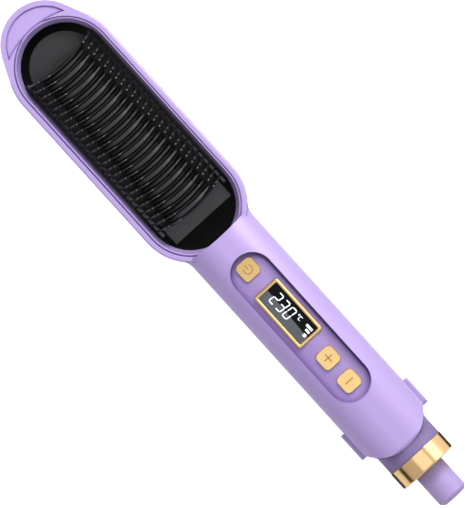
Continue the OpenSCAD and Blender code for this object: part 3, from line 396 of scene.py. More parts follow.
def metal(name, light, deep, roughness=0.25, spread=0.12, depth=0.1, scale=400, stretch=0.03):
    """Brushed or polished metal, its colour drifting a little over the surface."""
    material = bpy.data.materials.new(name)
    material.use_nodes = True
    nodes, links = material.node_tree.nodes, material.node_tree.links
    shader = nodes["Principled BSDF"]
    colour = group_node(nodes, DRIFT, Light=light, Deep=deep, Scale=60)
    surface = group_node(nodes, BRUSHED, Scale=scale, Stretch=stretch, Depth=depth,
                         Roughness=roughness, Spread=spread)
    links.new(colour.outputs["Color"], shader.inputs["Base Color"])
    links.new(surface.outputs["Normal"], shader.inputs["Normal"])
    links.new(surface.outputs["Roughness"], shader.inputs["Roughness"])
    shader.inputs["Metallic"].default_value = 1
    return material


# %% The finishes of this brush
LILAC = plastic("lilac_shell", linear(203, 178, 243), linear(197, 172, 238), roughness=0.44,
                coat=0.06, coat_roughness=0.25, depth=0.03, specular=0.4)
add_corner_shade(LILAC, 3 * MM, 0.3)
# Painted shade: the neck lies in the shadow of the handle's end, so its copy of the lilac is darker and
# its corner shade reaches far.
LILAC_NECK_SHADED = plastic("lilac_neck_painted_shade", linear(150, 132, 186), linear(144, 126, 180), roughness=0.46,
                     depth=0.03, specular=0.3)
add_corner_shade(LILAC_NECK_SHADED, 9 * MM, 0.9)
LILAC_RUBBER = plastic("lilac_rubber", linear(200, 176, 238), linear(192, 168, 231), roughness=0.55,
                       depth=0.05)
add_corner_shade(LILAC_RUBBER, 8 * MM, 0.7)
BLACK_GLOSS = plastic("black_gloss", linear(7, 7, 8), linear(4, 4, 5), roughness=0.1,
                      spread=0.03, depth=0.005)
BLACK_COMB = plastic("black_comb", linear(38, 38, 39), linear(30, 30, 31), roughness=0.18,
                     spread=0.06, depth=0.02)
PLATE_COAT = plastic("coated_plate", linear(54, 54, 56), linear(42, 42, 44), roughness=0.4,
                     spread=0.1, depth=0.05, grain=1600)
GOLD_PLATE = metal("gold_plastic", linear(248, 214, 152), linear(236, 196, 130), roughness=0.3,
                   spread=0.12, depth=0.08)
GOLD_RING = metal("gold_metal", linear(246, 210, 160), linear(232, 188, 130), roughness=0.2,
                  spread=0.08, depth=0.03, scale=260)
WINDOW = plastic("display_panel", linear(10, 10, 12), linear(6, 6, 7), roughness=0.12, spread=0.02,
                 depth=0.0, specular=0.08)
SMOKED = plastic("tank_plastic", linear(150, 128, 196), linear(140, 118, 186), roughness=0.16,
                 coat=0.4, depth=0.01)
# Painted shade: the darker gold of the button signs stands in for shade in engraved grooves.
GOLD_SIGN_SHADE = metal("gold_sign_painted_shade", linear(206, 156, 96), linear(190, 142, 84), roughness=0.4)
LIT = plastic("lit_mark", linear(240, 244, 248), linear(228, 234, 240), roughness=0.5)
LIT.node_tree.nodes["Principled BSDF"].inputs["Emission Color"].default_value = (0.9, 0.95, 1, 1)
LIT.node_tree.nodes["Principled BSDF"].inputs["Emission Strength"].default_value = 0.55


def add_window_painted_reflection(material, edge_y, slope):
    """Painted reflection: the lower part of the window is painted grey, past a straight slanted edge."""
    nodes, links = material.node_tree.nodes, material.node_tree.links
    shader = nodes["Principled BSDF"]
    dark = shader.inputs["Base Color"].links[0].from_socket
    place = nodes.new("ShaderNodeTexCoord")
    split = nodes.new("ShaderNodeSeparateXYZ")
    links.new(place.outputs["Object"], split.inputs["Vector"])
    slant = add_math(nodes, links, "MULTIPLY", split.outputs["X"], slope)
    height = add_math(nodes, links, "ADD", split.outputs["Y"], slant)
    mask = nodes.new("ShaderNodeMapRange")
    mask.interpolation_type = "SMOOTHSTEP"
    links.new(height, mask.inputs["Value"])
    mask.inputs["From Min"].default_value = edge_y + 0.25 * MM
    mask.inputs["From Max"].default_value = edge_y - 0.25 * MM
    grey = group_node(nodes, DRIFT, Light=linear(108, 113, 118), Deep=linear(92, 97, 103), Scale=90.0)
    mix = nodes.new("ShaderNodeMix")
    mix.data_type = "RGBA"
    links.new(mask.outputs["Result"], mix.inputs["Factor"])
    links.new(dark, mix.inputs[6])
    links.new(grey.outputs["Color"], mix.inputs[7])
    links.new(mix.outputs[2], shader.inputs["Base Color"])


# Painted reflection: a grey lower part on the dark display window.
add_window_painted_reflection(WINDOW, 0.9 * MM, 0.035)
DARK_RUBBER = plastic("cap_rubber", linear(40, 40, 43), linear(30, 30, 33), roughness=0.6, depth=0.1)
STEEL = metal("screw_steel", linear(200, 200, 204), linear(176, 177, 182), roughness=0.3)
CERAMIC = plastic("heater_ceramic", linear(228, 224, 212), linear(214, 208, 194), roughness=0.7)
MICA = plastic("mica_sheet", linear(206, 184, 136), linear(186, 160, 112), roughness=0.6, drift=120)
FUSE = plastic("fuse_body", linear(188, 192, 170), linear(170, 174, 152), roughness=0.5)
BOARD = plastic("circuit_board", linear(28, 104, 60), linear(20, 84, 48), roughness=0.4, drift=200)
DARK_PART = plastic("switch_body", linear(34, 34, 36), linear(24, 24, 26), roughness=0.5)
LCD_BODY = plastic("lcd_body", linear(70, 72, 76), linear(58, 60, 64), roughness=0.4)
PUMP = plastic("pump_body", linear(54, 54, 58), linear(42, 42, 46), roughness=0.45)
WIRE_RED = plastic("wire_red", linear(186, 36, 30), linear(160, 28, 24), roughness=0.5)
WIRE_BLACK = plastic("wire_black", linear(30, 30, 32), linear(20, 20, 22), roughness=0.5)
SILICONE = plastic("silicone_tube", linear(226, 230, 232), linear(208, 212, 216), roughness=0.35)
CAST = metal("chamber_metal", linear(190, 192, 196), linear(166, 168, 172), roughness=0.5,
             depth=0.2, stretch=1.0)
BRASS = metal("contact_brass", linear(222, 186, 110), linear(200, 160, 86), roughness=0.22)

# Painted shade for the front shell's copy of the lilac: a darker panel floor and a painted shadow under
# the recess wall.
RECESS_LEAD = 2.0 * MM
RECESS_LENGTH = 83.4 * MM
RECESS_RADIUS = 10 * MM
RECESS_SHADOW_SLANT = 3 * MM
RECESS_X0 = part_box("power_button")[0][0] - RECESS_LEAD
RECESS_X1 = RECESS_X0 + RECESS_LENGTH
LILAC_FRONT_SHADED = LILAC.copy()
LILAC_FRONT_SHADED.name = "lilac_front_painted_shade"
PANEL_TONE = (0.77, 0.73, 0.81)
PANEL_WALL_SHADOW = (0.22, 0.18, 0.28)
add_recess_shade(LILAC_FRONT_SHADED, RECESS_X0, RECESS_X1, RECESS_RADIUS, RECESS_SHADOW_SLANT,
                 PANEL_TONE, PANEL_WALL_SHADOW)

FINISH = {
    "lilac_shell": LILAC, "lilac_rubber": LILAC_RUBBER, "black_gloss": BLACK_GLOSS,
    "black_comb": BLACK_COMB, "coated_plate": PLATE_COAT, "gold_plastic": GOLD_PLATE,
    "gold_metal": GOLD_RING, "display_panel": WINDOW, "tank_plastic": SMOKED,
    "cap_rubber": DARK_RUBBER, "screw_steel": STEEL, "bracket_steel": STEEL,
    "spring_steel": STEEL, "heater_ceramic": CERAMIC, "mica_sheet": MICA, "fuse_body": FUSE,
    "circuit_board": BOARD, "switch_body": DARK_PART, "lcd_body": LCD_BODY, "pump_body": PUMP,
    "wire_red": WIRE_RED, "wire_black": WIRE_BLACK, "silicone_tube": SILICONE,
    "chamber_metal": CAST, "contact_brass": BRASS,
}
print("finishes:", len(FINISH))

# %% [markdown]
# ## Carried-over pieces
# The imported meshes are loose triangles. A Weld joins them, a small Bevel rounds
# the moulded edges so that they catch the light, and a short Geometry Nodes tree
# shades them smooth up to an angle. The meshes themselves stay as they are.

# %% Smooth shading by angle
SMOOTH_ANGLE = math.radians(32)
BEVEL_ANGLE = math.radians(38)


def make_smooth_tree():
    """Geometry Nodes: smooth faces, with sharp edges only past an angle."""
    tree = bpy.data.node_groups.new("smooth_to_angle", "GeometryNodeTree")
    tree.interface.new_socket("Geometry", in_out="INPUT", socket_type="NodeSocketGeometry")
    limit = tree.interface.new_socket("Angle", in_out="INPUT", socket_type="NodeSocketFloat")
    limit.default_value = SMOOTH_ANGLE
    tree.interface.new_socket("Geometry", in_out="OUTPUT", socket_type="NodeSocketGeometry")
    nodes, links = tree.nodes, tree.links
    start, end = nodes.new("NodeGroupInput"), nodes.new("NodeGroupOutput")
    faces = nodes.new("GeometryNodeSetShadeSmooth")
    edges = nodes.new("GeometryNodeSetShadeSmooth")
    edges.domain = "EDGE"
    angle = nodes.new("GeometryNodeInputMeshEdgeAngle")
    compare = nodes.new("FunctionNodeCompare")
    compare.operation = "LESS_EQUAL"
    links.new(angle.outputs["Unsigned Angle"], compare.inputs["A"])
    links.new(start.outputs["Angle"], compare.inputs["B"])
    links.new(start.outputs["Geometry"], faces.inputs["Geometry"])
    links.new(faces.outputs["Geometry"], edges.inputs["Geometry"])
    links.new(compare.outputs["Result"], edges.inputs["Shade Smooth"])
    links.new(edges.outputs["Geometry"], end.inputs["Geometry"])
    return tree


SMOOTH = make_smooth_tree()


def soften(piece, width=0.0, segments=3):
    """Weld, an optional bevel and smooth shading, as live modifiers."""
    weld = piece.modifiers.new("weld", "WELD")
    weld.merge_threshold = 0.002 * MM
    if width > 0:
        bevel = piece.modifiers.new("edge_radius", "BEVEL")
        bevel.width = width
        bevel.segments = segments
        bevel.limit_method = "ANGLE"
        bevel.angle_limit = BEVEL_ANGLE
        bevel.use_clamp_overlap = True
        bevel.miter_outer = "MITER_ARC"
    smooth = piece.modifiers.new("smooth", "NODES")
    smooth.node_group = SMOOTH
    even = piece.modifiers.new("even_normals", "WEIGHTED_NORMAL")
    even.mode = "FACE_AREA_WITH_ANGLE"
    even.keep_sharp = True


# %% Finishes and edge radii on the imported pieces
EDGE_RADIUS = {
    "head_frame": 0.25 * MM, "funnel_ring": 0.25 * MM, "plate_surround": 0.15 * MM,
    "back_shell": 0.25 * MM, "front_shell": 0.5 * MM, "tail_collar": 0.2 * MM,
    "gold_ring": 0.15 * MM, "swivel_sleeve": 0.4 * MM, "release_button_left": 0.5 * MM,
    "release_button_right": 0.5 * MM, "water_tank": 0.2 * MM, "tank_cap": 0.15 * MM,
    "display_bezel": 0.5 * MM, "power_button": 0.7 * MM, "plus_button": 0.7 * MM,
    "minus_button": 0.7 * MM,
}


# The front shell and the neck take the lilac copies with painted shade.
PAINTED_SHADE_FINISH = {"front_shell": LILAC_FRONT_SHADED, "tail_collar": LILAC_NECK_SHADED}


def dress_packed_pieces():
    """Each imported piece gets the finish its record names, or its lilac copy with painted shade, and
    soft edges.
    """
    slots = {row["node"]: row["material_slot"] for row in frame["record"]["subparts"]}
    for name, piece in NODES.items():
        piece.data.materials.clear()
        piece.data.materials.append(PAINTED_SHADE_FINISH.get(name, FINISH[slots[name]]))
        soften(piece, EDGE_RADIUS.get(name, 0.0))


dress_packed_pieces()
print("packed pieces dressed:", len(NODES))

# %% [markdown]
# ## The comb
# Twenty-five thin blades stand in the well, each bent to the same arc. On a real
# brush the whole comb is one moulding. Here one blade is lofted from its crest
# line, and a Geometry Nodes tree sets it out along the well, so that the count
# and the pitch stay plain numbers.

# %% Comb sizes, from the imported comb
comb_low, comb_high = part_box("comb_guard")
BLADE_COUNT = 25
BLADE_PITCH = 3.59 * MM
BLADE_T = 0.85 * MM
ARC_R = 55 * MM
RAIL_OUT = comb_high[1]
RAIL_IN = 17.4 * MM
RAIL_RISE = 2.6 * MM
RAIL_CORNER = 0.5 * MM
RAIL_EDGE = 0.45 * MM
CRISP_ANGLE = math.radians(40)
BLADE_FOOT = DECK_Z + 0.4 * MM
BLADE_SIDE = RAIL_OUT - 0.25 * MM
COMB_X = TIP_C - 1.3 * MM
PEAK_Z = comb_high[2]
print("comb from", round(comb_low[0] / MM, 2), "to", round(comb_high[0] / MM, 2))

# %% Repeats along the brush


def make_repeat_tree():
    """Geometry Nodes: the same mesh set out in even steps, with one material."""
    tree = bpy.data.node_groups.new("repeat_along", "GeometryNodeTree")
    sockets = [("Geometry", "NodeSocketGeometry"), ("Count", "NodeSocketInt"),
               ("Start", "NodeSocketVector"), ("Step", "NodeSocketVector"),
               ("Material", "NodeSocketMaterial")]
    for label, kind in sockets:
        tree.interface.new_socket(label, in_out="INPUT", socket_type=kind)
    tree.interface.new_socket("Geometry", in_out="OUTPUT", socket_type="NodeSocketGeometry")
    nodes, links = tree.nodes, tree.links
    start, end = nodes.new("NodeGroupInput"), nodes.new("NodeGroupOutput")
    line = nodes.new("GeometryNodeMeshLine")
    place = nodes.new("GeometryNodeInstanceOnPoints")
    realize = nodes.new("GeometryNodeRealizeInstances")
    dress = nodes.new("GeometryNodeSetMaterial")
    links.new(start.outputs["Count"], line.inputs["Count"])
    links.new(start.outputs["Start"], line.inputs["Start Location"])
    links.new(start.outputs["Step"], line.inputs["Offset"])
    links.new(line.outputs["Mesh"], place.inputs["Points"])
    links.new(start.outputs["Geometry"], place.inputs["Instance"])
    links.new(place.outputs["Instances"], realize.inputs["Geometry"])
    links.new(realize.outputs["Geometry"], dress.inputs["Geometry"])
    links.new(start.outputs["Material"], dress.inputs["Material"])
    links.new(dress.outputs["Geometry"], end.inputs["Geometry"])
    return tree


REPEAT = make_repeat_tree()


def repeat_mesh(name, mesh, count, start, step, material):
    """A plain mesh of a form set out along a line by the repeat tree."""
    maker = bpy.data.objects.new(name + "_maker", mesh)
    bpy.context.scene.collection.objects.link(maker)
    modifier = maker.modifiers.new("repeat", "NODES")
    modifier.node_group = REPEAT
    values = {"Count": count, "Start": start, "Step": step, "Material": material}
    for item in REPEAT.interface.items_tree:
        if item.in_out == "INPUT" and item.name in values:
            modifier[item.identifier] = values[item.name]
    seen = maker.evaluated_get(bpy.context.evaluated_depsgraph_get())
    result = bpy.data.meshes.new_from_object(seen)
    result.name = name
    bpy.data.objects.remove(maker)
    return result


# %% Lofting


def loft(rows):
    """A closed solid through rows of points, each row a closed loop."""
    bm = bmesh.new()
    rings = [[bm.verts.new(point) for point in row] for row in rows]
    for one, two in zip(rings, rings[1:]):
        for i in range(len(one)):
            j = (i + 1) % len(one)
            bm.faces.new((one[i], one[j], two[j], two[i]))
    bm.faces.new(rings[0])
    bm.faces.new(list(reversed(rings[-1])))
    return bm


def arc_x(y):
    """How far the comb's arc falls back towards the tip at a distance from the middle."""
    return math.sqrt(ARC_R ** 2 - y ** 2) - ARC_R


def arc_row(y, half, foot, top, crest):
    """One upright section of an arc wall, with a round crest."""
    across = Vector((math.sqrt(ARC_R ** 2 - y ** 2) / ARC_R, y / ARC_R, 0))
    middle = Vector((arc_x(y), y, 0))
    steps = [(-1, 0, 0), (-1, 1, -1), (-0.72, 1, -0.3), (0, 1, 0), (0.72, 1, -0.3), (1, 1, -1),
             (1, 0, 0)]
    row = []
    for side, high, drop in steps:
        z = (top + drop * crest) if high else foot
        row.append(middle + across * (side * half) + Vector((0, 0, z)))
    return row


# %% One blade
BEADS = [(13.3, 1.0), (15.35, 0.8)]


def blade_crest(y):
    """Height of a blade's crest in mm above the floor, and its bead's swell."""
    top = PEAK_Z / MM
    away = abs(y)
    line = [(0, 22.9), (7.4, 23.2), (8.4, 24.0), (12.4, 28.0), (13.3, top - 1.0), (15.3, top - 1.3),
            (16.3, 27.4), (18.95, 18.0)]
    height = line[-1][1]
    for (a, low), (b, high) in zip(line, line[1:]):
        if a <= away <= b:
            height = low + (high - low) * (away - a) / (b - a)
    swell = 0
    for middle, size in BEADS:
        near = max(0, 1 - ((away - middle) / 0.95) ** 2)
        swell = max(swell, size * math.sqrt(near))
    return height + swell, swell


def blade_mesh():
    """A thin arc wall that rises to two beads on each side."""
    edge = BLADE_SIDE / MM
    half = [0, 2.5, 5, 7.4, 8.4, 10.4, 12.1, 12.4, 12.6, 12.9, 13.3, 13.7, 14.0, 14.2, 14.35, 14.5,
            14.8, 15.3, 15.8, 16.1, 16.3, 17.3, 18.3, edge]
    rows = []
    for y in [-v for v in reversed(half[1:])] + half:
        height, swell = blade_crest(y)
        width = BLADE_T / 2 * (1 + 0.35 * swell)
        rows.append(arc_row(y * MM, width, BLADE_FOOT, height * MM, 0.42 * MM))
    return mesh_from("blade", loft(rows), math.radians(50))


blade = blade_mesh()
blades = repeat_mesh("comb_blades", blade, BLADE_COUNT, (COMB_X, 0, 0), (BLADE_PITCH, 0, 0),
                     BLACK_COMB)
comb = link_piece("comb_blades", blades, BLACK_COMB)
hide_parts("comb_guard")
print("blade faces:", len(blade.polygons), "comb faces:", len(blades.polygons))

# %% Rails and end rib


def ring_loft(outline, z_low, z_high, edge):
    """An upright slab over an outline, its upper edge rounded in four steps."""
    count = len(outline)
    middle = sum((Vector(p) for p in outline), Vector((0, 0))) / count
    rows = [[(x, y, z_low) for x, y in outline]]
    for step in range(5):
        turn = math.radians(90 * step / 4)
        inward = edge * (1 - math.cos(turn))
        z = z_high - edge * (1 - math.sin(turn))
        row = []
        for i, (x, y) in enumerate(outline):
            before = Vector(outline[i - 1])
            after = Vector(outline[(i + 1) % count])
            along = (after - before).normalized()
            normal = Vector((along.y, -along.x))
            if normal.dot(Vector((x, y)) - middle) < 0:
                normal = -normal
            row.append((x - normal.x * inward, y - normal.y * inward, z))
        rows.append(row)
    return loft(rows)


def rounded_outline(x0, x1, y0, y1, radius, steps=6):
    """Points round a rectangle with round corners."""
    points = []
    corners = [(x1 - radius, y1 - radius, 0), (x0 + radius, y1 - radius, 90),
               (x0 + radius, y0 + radius, 180), (x1 - radius, y0 + radius, 270)]
    for cx, cy, begin in corners:
        for step in range(steps + 1):
            turn = math.radians(begin + 90 * step / steps)
            points.append((cx + radius * math.cos(turn), cy + radius * math.sin(turn)))
    return points


def rail_mesh(side):
    """A low rail with soft edges along the blades' feet."""
    y0, y1 = (RAIL_IN, RAIL_OUT) if side > 0 else (-RAIL_OUT, -RAIL_IN)
    outline = rounded_outline(comb_low[0], comb_high[0], y0, y1, RAIL_CORNER, 4)
    slab = ring_loft(outline, DECK_Z, DECK_Z + RAIL_RISE, RAIL_EDGE)
    return mesh_from("rail", slab, CRISP_ANGLE)


for label, side in (("left", 1), ("right", -1)):
    rail = link_piece("comb_rail_" + label, rail_mesh(side), BLACK_COMB)
    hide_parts("comb_guard")


RIB_REACH = 8.5 * MM
RIB_THICK = 2.8 * MM
RIB_TOP = 21.4 * MM
RIB_EDGE = 0.5 * MM


def end_rib_mesh():
    """The pointed rib before the first blade."""
    sag = -arc_x(RIB_REACH)
    radius = (RIB_REACH ** 2 + (RIB_THICK - sag) ** 2) / (2 * (RIB_THICK - sag))
    turn = math.asin(RIB_REACH / radius)
    middle = COMB_X - RIB_THICK + radius
    front = []
    for step in range(17):
        angle = turn - 2 * turn * step / 16
        front.append((middle - radius * math.cos(angle), radius * math.sin(angle)))
    back = [(COMB_X + arc_x(y), y) for y in [RIB_REACH * (-7 + k) / 8 for k in range(15)]]
    slab = ring_loft(front + back, BLADE_FOOT, RIB_TOP, RIB_EDGE)
    return mesh_from("end_rib", slab, CRISP_ANGLE)


rib = link_piece("comb_end_rib", end_rib_mesh(), BLACK_COMB)
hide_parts("comb_guard")
print("rails and rib made")

# %% [markdown]
# ## The heated plate
# The plate is a casting: a flat base with a round end and arched bars that rise
# between the blades, tall and low in turn, their crests full round.

# %% Bars and plate
plate_high_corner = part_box("heating_plate")[1]
PLATE_Z = DECK_Z - 0.6 * MM
PLATE_R = plate_high_corner[1]
BAR_T = 2.2 * MM
BAR_Y = 12 * MM
ARCH_R = 17 * MM
BAR_SINK = 0.4 * MM
BAR_CREST = 1.0 * MM
BARS_EACH = 12
LOW_BAR_TOP = 21.8 * MM
TALL_BAR_TOP = 25.4 * MM
PLATE_T = 1.8 * MM
PLATE_EDGE = 0.2 * MM


def bar_mesh(top):
    """An arched bar with a full round crest, bent to the comb's arc."""
    rows = []
    for step in range(25):
        y = BAR_Y * (step / 12 - 1)
        height = top - ARCH_R + math.sqrt(ARCH_R ** 2 - y ** 2)
        rows.append(arc_row(y, BAR_T / 2, PLATE_Z - BAR_SINK, height, BAR_CREST))
    return mesh_from("bar", loft(rows), math.radians(60))


def add_bars(name, top, count, first):
    """Every second bar of one height."""
    start = (COMB_X + (first + 0.5) * BLADE_PITCH, 0, 0)
    mesh = repeat_mesh(name, bar_mesh(top), count, start, (2 * BLADE_PITCH, 0, 0), PLATE_COAT)
    bars = link_piece(name, mesh, PLATE_COAT)
    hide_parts("heating_plate")
    return mesh


low_bars = add_bars("low_bars", LOW_BAR_TOP, BARS_EACH, 0)
tall_bars = add_bars("tall_bars", TALL_BAR_TOP, BARS_EACH, 1)


def plate_mesh():
    """The plate's base: round at the tip, straight at the root, with a soft edge."""
    outline = []
    for step in range(33):
        turn = math.radians(90 + 180 * step / 32)
        outline.append((TIP_C + PLATE_R * math.cos(turn), PLATE_R * math.sin(turn)))
    end = plate_high_corner[0]
    outline += [(end, -PLATE_R), (end, -PLATE_R / 2), (end, 0), (end, PLATE_R / 2), (end, PLATE_R)]
    return mesh_from("plate", ring_loft(outline, PLATE_Z - PLATE_T, PLATE_Z, PLATE_EDGE), CRISP_ANGLE)


plate = link_piece("plate_base", plate_mesh(), PLATE_COAT)
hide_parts("heating_plate")
print("bar faces:", len(low_bars.polygons) + len(tall_bars.polygons))

# %% [markdown]
# ## Display and marks
# The marks are thin prints: seven-stroke numbers that lean a little, a degree
# sign and three strokes for the level. The signs on the buttons are thin marks of
# darker gold, whose darkness is painted shade standing in for engraved grooves.

# %% Flat marks


def flat_mark(name, outlines, z, thick, material, body="root"):
    """Thin flat shapes, each an outline in mm, as one printed piece."""
    bm = bmesh.new()
    for outline in outlines:
        low = [bm.verts.new((x * MM, y * MM, z)) for x, y in outline]
        high = [bm.verts.new((x * MM, y * MM, z + thick)) for x, y in outline]
        bm.faces.new(low)
        bm.faces.new(high)
        for i in range(len(low)):
            j = (i + 1) % len(low)
            bm.faces.new((low[i], low[j], high[j], high[i]))
    return link_piece(name, mesh_from(name, bm), material, body)


def stroke(x0, y0, x1, y1, width):
    """A straight stroke with pointed ends, like one bar of a number display."""
    along = Vector((x1 - x0, y1 - y0)).normalized()
    side = Vector((-along.y, along.x)) * width / 2
    tip = along * width / 2
    a, b = Vector((x0, y0)), Vector((x1, y1))
    return [a - tip, a + side, b + side, b + tip, b - side, a - side]


def arc_band(cx, cy, radius, width, begin, end, steps=20):
    """Quads along an arc, each its own outline."""
    bands = []
    for step in range(steps):
        a = math.radians(begin + (end - begin) * step / steps)
        b = math.radians(begin + (end - begin) * (step + 1) / steps)
        inner, outer = radius - width / 2, radius + width / 2
        bands.append([(cx + r * math.cos(t), cy + r * math.sin(t))
                      for r, t in ((inner, a), (outer, a), (outer, b), (inner, b))])
    return bands


# %% Numbers on the display
SEGMENTS = {
    "0": "abcdef", "1": "bc", "2": "abged", "3": "abgcd", "4": "fgbc", "5": "afgcd", "6": "afgedc",
    "7": "abc", "8": "abcdefg", "9": "abcdfg",
}


def number_strokes(text, x, y, wide, high, step, width, slant):
    """Seven-stroke numbers whose tops lean to the right."""
    shapes = []
    gap = width * 0.62
    ends = {
        "a": (0, 1, 1, 1), "b": (1, 1, 1, 0.5), "c": (1, 0.5, 1, 0), "d": (0, 0, 1, 0),
        "e": (0, 0, 0, 0.5), "f": (0, 0.5, 0, 1), "g": (0, 0.5, 1, 0.5),
    }
    for place, sign in enumerate(text):
        for segment in SEGMENTS[sign]:
            x0, y0, x1, y1 = ends[segment]
            a = Vector((x0 * wide, y0 * high))
            b = Vector((x1 * wide, y1 * high))
            pull = (b - a).normalized() * gap
            shape = stroke(*(a + pull), *(b - pull), width)
            shapes.append([(x + place * step + p.x + slant * p.y, y + p.y) for p in shape])
    return shapes


MARK_T = 0.02 * MM
MARK_GAP = 0.01 * MM
MARK_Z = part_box("display_window")[1][2] + MARK_GAP
shapes = number_strokes("230", 25.0, -2.45, 2.7, 6.0, 4.35, 0.56, 0.12)
flat_mark("display_number", shapes, MARK_Z, MARK_T, LIT)
degree = arc_band(38.95, 3.25, 0.38, 0.26, 0, 360, 12)
degree += [stroke(39.9, 3.4, 41.0, 3.4, 0.3), stroke(39.9, 3.4, 39.8, 1.6, 0.3),
           stroke(39.8, 1.6, 40.9, 1.6, 0.3)]
flat_mark("display_degree", degree, MARK_Z, MARK_T, LIT)
level = [[(44.2, 2.2), (47.9, 2.2), (47.9, 3.4), (44.2, 3.4)],
         [(45.5, 0.5), (47.9, 0.5), (47.9, 1.6), (45.5, 1.6)],
         [(46.4, -1.9), (47.9, -1.9), (47.9, -0.4), (46.4, -0.4)]]
flat_mark("display_level", level, MARK_Z, MARK_T, LIT)
print("display marks made")

# %% Signs on the buttons
# Painted shade: each sign is a darker gold mark in place of the shade inside an engraved groove.
SIGN_GAP = 0.004 * MM


def button_middle(name):
    """Middle of a button's face in mm, and the height of its top."""
    low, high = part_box(name)
    return (low[0] + high[0]) / 2 / MM, 0.0, high[2]


px, py, top_z = button_middle("power_button")
signs = {
    "power_button": arc_band(px, py, 2.0, 0.5, -135, 135, 24)
    + [stroke(px - 2.2, py, px - 0.3, py, 0.5)],
}
px, py, top_z = button_middle("plus_button")
signs["plus_button"] = [stroke(px - 2.1, py, px + 2.1, py, 0.6), stroke(px, py - 2.1, px, py - 0.3, 0.6),
                        stroke(px, py + 0.3, px, py + 2.1, 0.6)]
px, py, top_z = button_middle("minus_button")
signs["minus_button"] = [stroke(px, py - 2.1, px, py + 2.1, 0.6)]
for name, outlines in signs.items():
    sign = flat_mark(name + "_sign", outlines, top_z + SIGN_GAP, MARK_T, GOLD_SIGN_SHADE, name)
print("signs:", list(signs))

# %% [markdown]
# ## The release springs
# Each side button stands on a small coil spring between its seat and the button.
# The coil is a wire swept along a helix.

# %% Coils wound along Y
COIL_TURNS = 3
COIL_STEPS = 16
WIRE_R = 0.25 * MM
WIRE_SIDES = 8


def coil_mesh(name, low, high):
    """A round wire wound along Y inside a spring's box, closed at both ends."""
    bm = bmesh.new()
    middle = (Vector(low) + Vector(high)) / 2
    coil_r = (high[0] - low[0]) / 2 - WIRE_R
    count = COIL_TURNS * COIL_STEPS
    rings = []
    for i in range(count + 1):
        turn = 2 * math.pi * i / COIL_STEPS
        rise = low[1] + WIRE_R + (high[1] - low[1] - 2 * WIRE_R) * i / count
        ring = []
        for k in range(WIRE_SIDES):
            side = 2 * math.pi * k / WIRE_SIDES
            reach = coil_r + WIRE_R * math.cos(side)
            x = middle.x + reach * math.cos(turn)
            z = middle.z + reach * math.sin(turn)
            ring.append(bm.verts.new((x, rise + WIRE_R * math.sin(side), z)))
        rings.append(ring)
    for first, second in zip(rings, rings[1:]):
        for k in range(WIRE_SIDES):
            nxt = (k + 1) % WIRE_SIDES
            bm.faces.new((first[k], first[nxt], second[nxt], second[k]))
    bm.faces.new(rings[0])
    bm.faces.new(rings[-1])
    return mesh_from(name, bm, math.radians(60))


# %% One coil for each release button
for side, seat_end in (("left", 0), ("right", 1)):
    node = "release_spring_" + side
    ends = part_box(node)
    coil = link_piece("release_coil_" + side, coil_mesh("release_coil_" + side, *ends), STEEL)
    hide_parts(node)
    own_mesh(coil)

# %% [markdown]
# ## Light and floor
# A product shot: a broad soft light from the photo's upper edge, a weaker fill,
# and a white floor that keeps the brush's soft shadow.

# %% World and lamps
WORLD_LIGHT = 0.4
GLOSS_LIGHT = 0.6
FLOOR_WHITE = 0.9
FLOOR_GLOW = 0.8
MIRRORED_GLOW = 0.3
FLOOR_DROP = 0.05 * MM
CEILING_Z = 0.6
LOOK_AT = (0, 0, 0.01)


def make_world():
    """Soft light from all round; the camera and reflections see plain white."""
    world = bpy.data.worlds.new("studio")
    world.use_nodes = True
    bpy.context.scene.world = world
    nodes, links = world.node_tree.nodes, world.node_tree.links
    light = nodes["Background"]
    light.inputs["Color"].default_value = (1, 1, 1, 1)
    light.inputs["Strength"].default_value = WORLD_LIGHT
    white = nodes.new("ShaderNodeBackground")
    white.inputs["Color"].default_value = (1, 1, 1, 1)
    white.inputs["Strength"].default_value = GLOSS_LIGHT
    mix = nodes.new("ShaderNodeMixShader")
    rays = nodes.new("ShaderNodeLightPath")
    camera_ray, glossy_ray = rays.outputs["Is Camera Ray"], rays.outputs["Is Glossy Ray"]
    seen = add_math(nodes, links, "MAXIMUM", camera_ray, glossy_ray)
    seen = add_math(nodes, links, "MAXIMUM", seen, rays.outputs["Is Transmission Ray"])
    links.new(seen, mix.inputs["Fac"])
    links.new(light.outputs["Background"], mix.inputs[1])
    links.new(white.outputs["Background"], mix.inputs[2])
    links.new(mix.outputs["Shader"], nodes["World Output"].inputs["Surface"])


def area_lamp(name, place, aim, size, power):
    """A soft box that looks at a point."""
    data = bpy.data.lights.new(name, "AREA")
    data.shape = "RECTANGLE"
    data.size, data.size_y = size
    data.energy = power
    lamp = bpy.data.objects.new(name, data)
    bpy.context.scene.collection.objects.link(lamp)
    lamp.location = place
    lamp.rotation_euler = (Vector(aim) - Vector(place)).to_track_quat("-Z", "Y").to_euler()
    return lamp


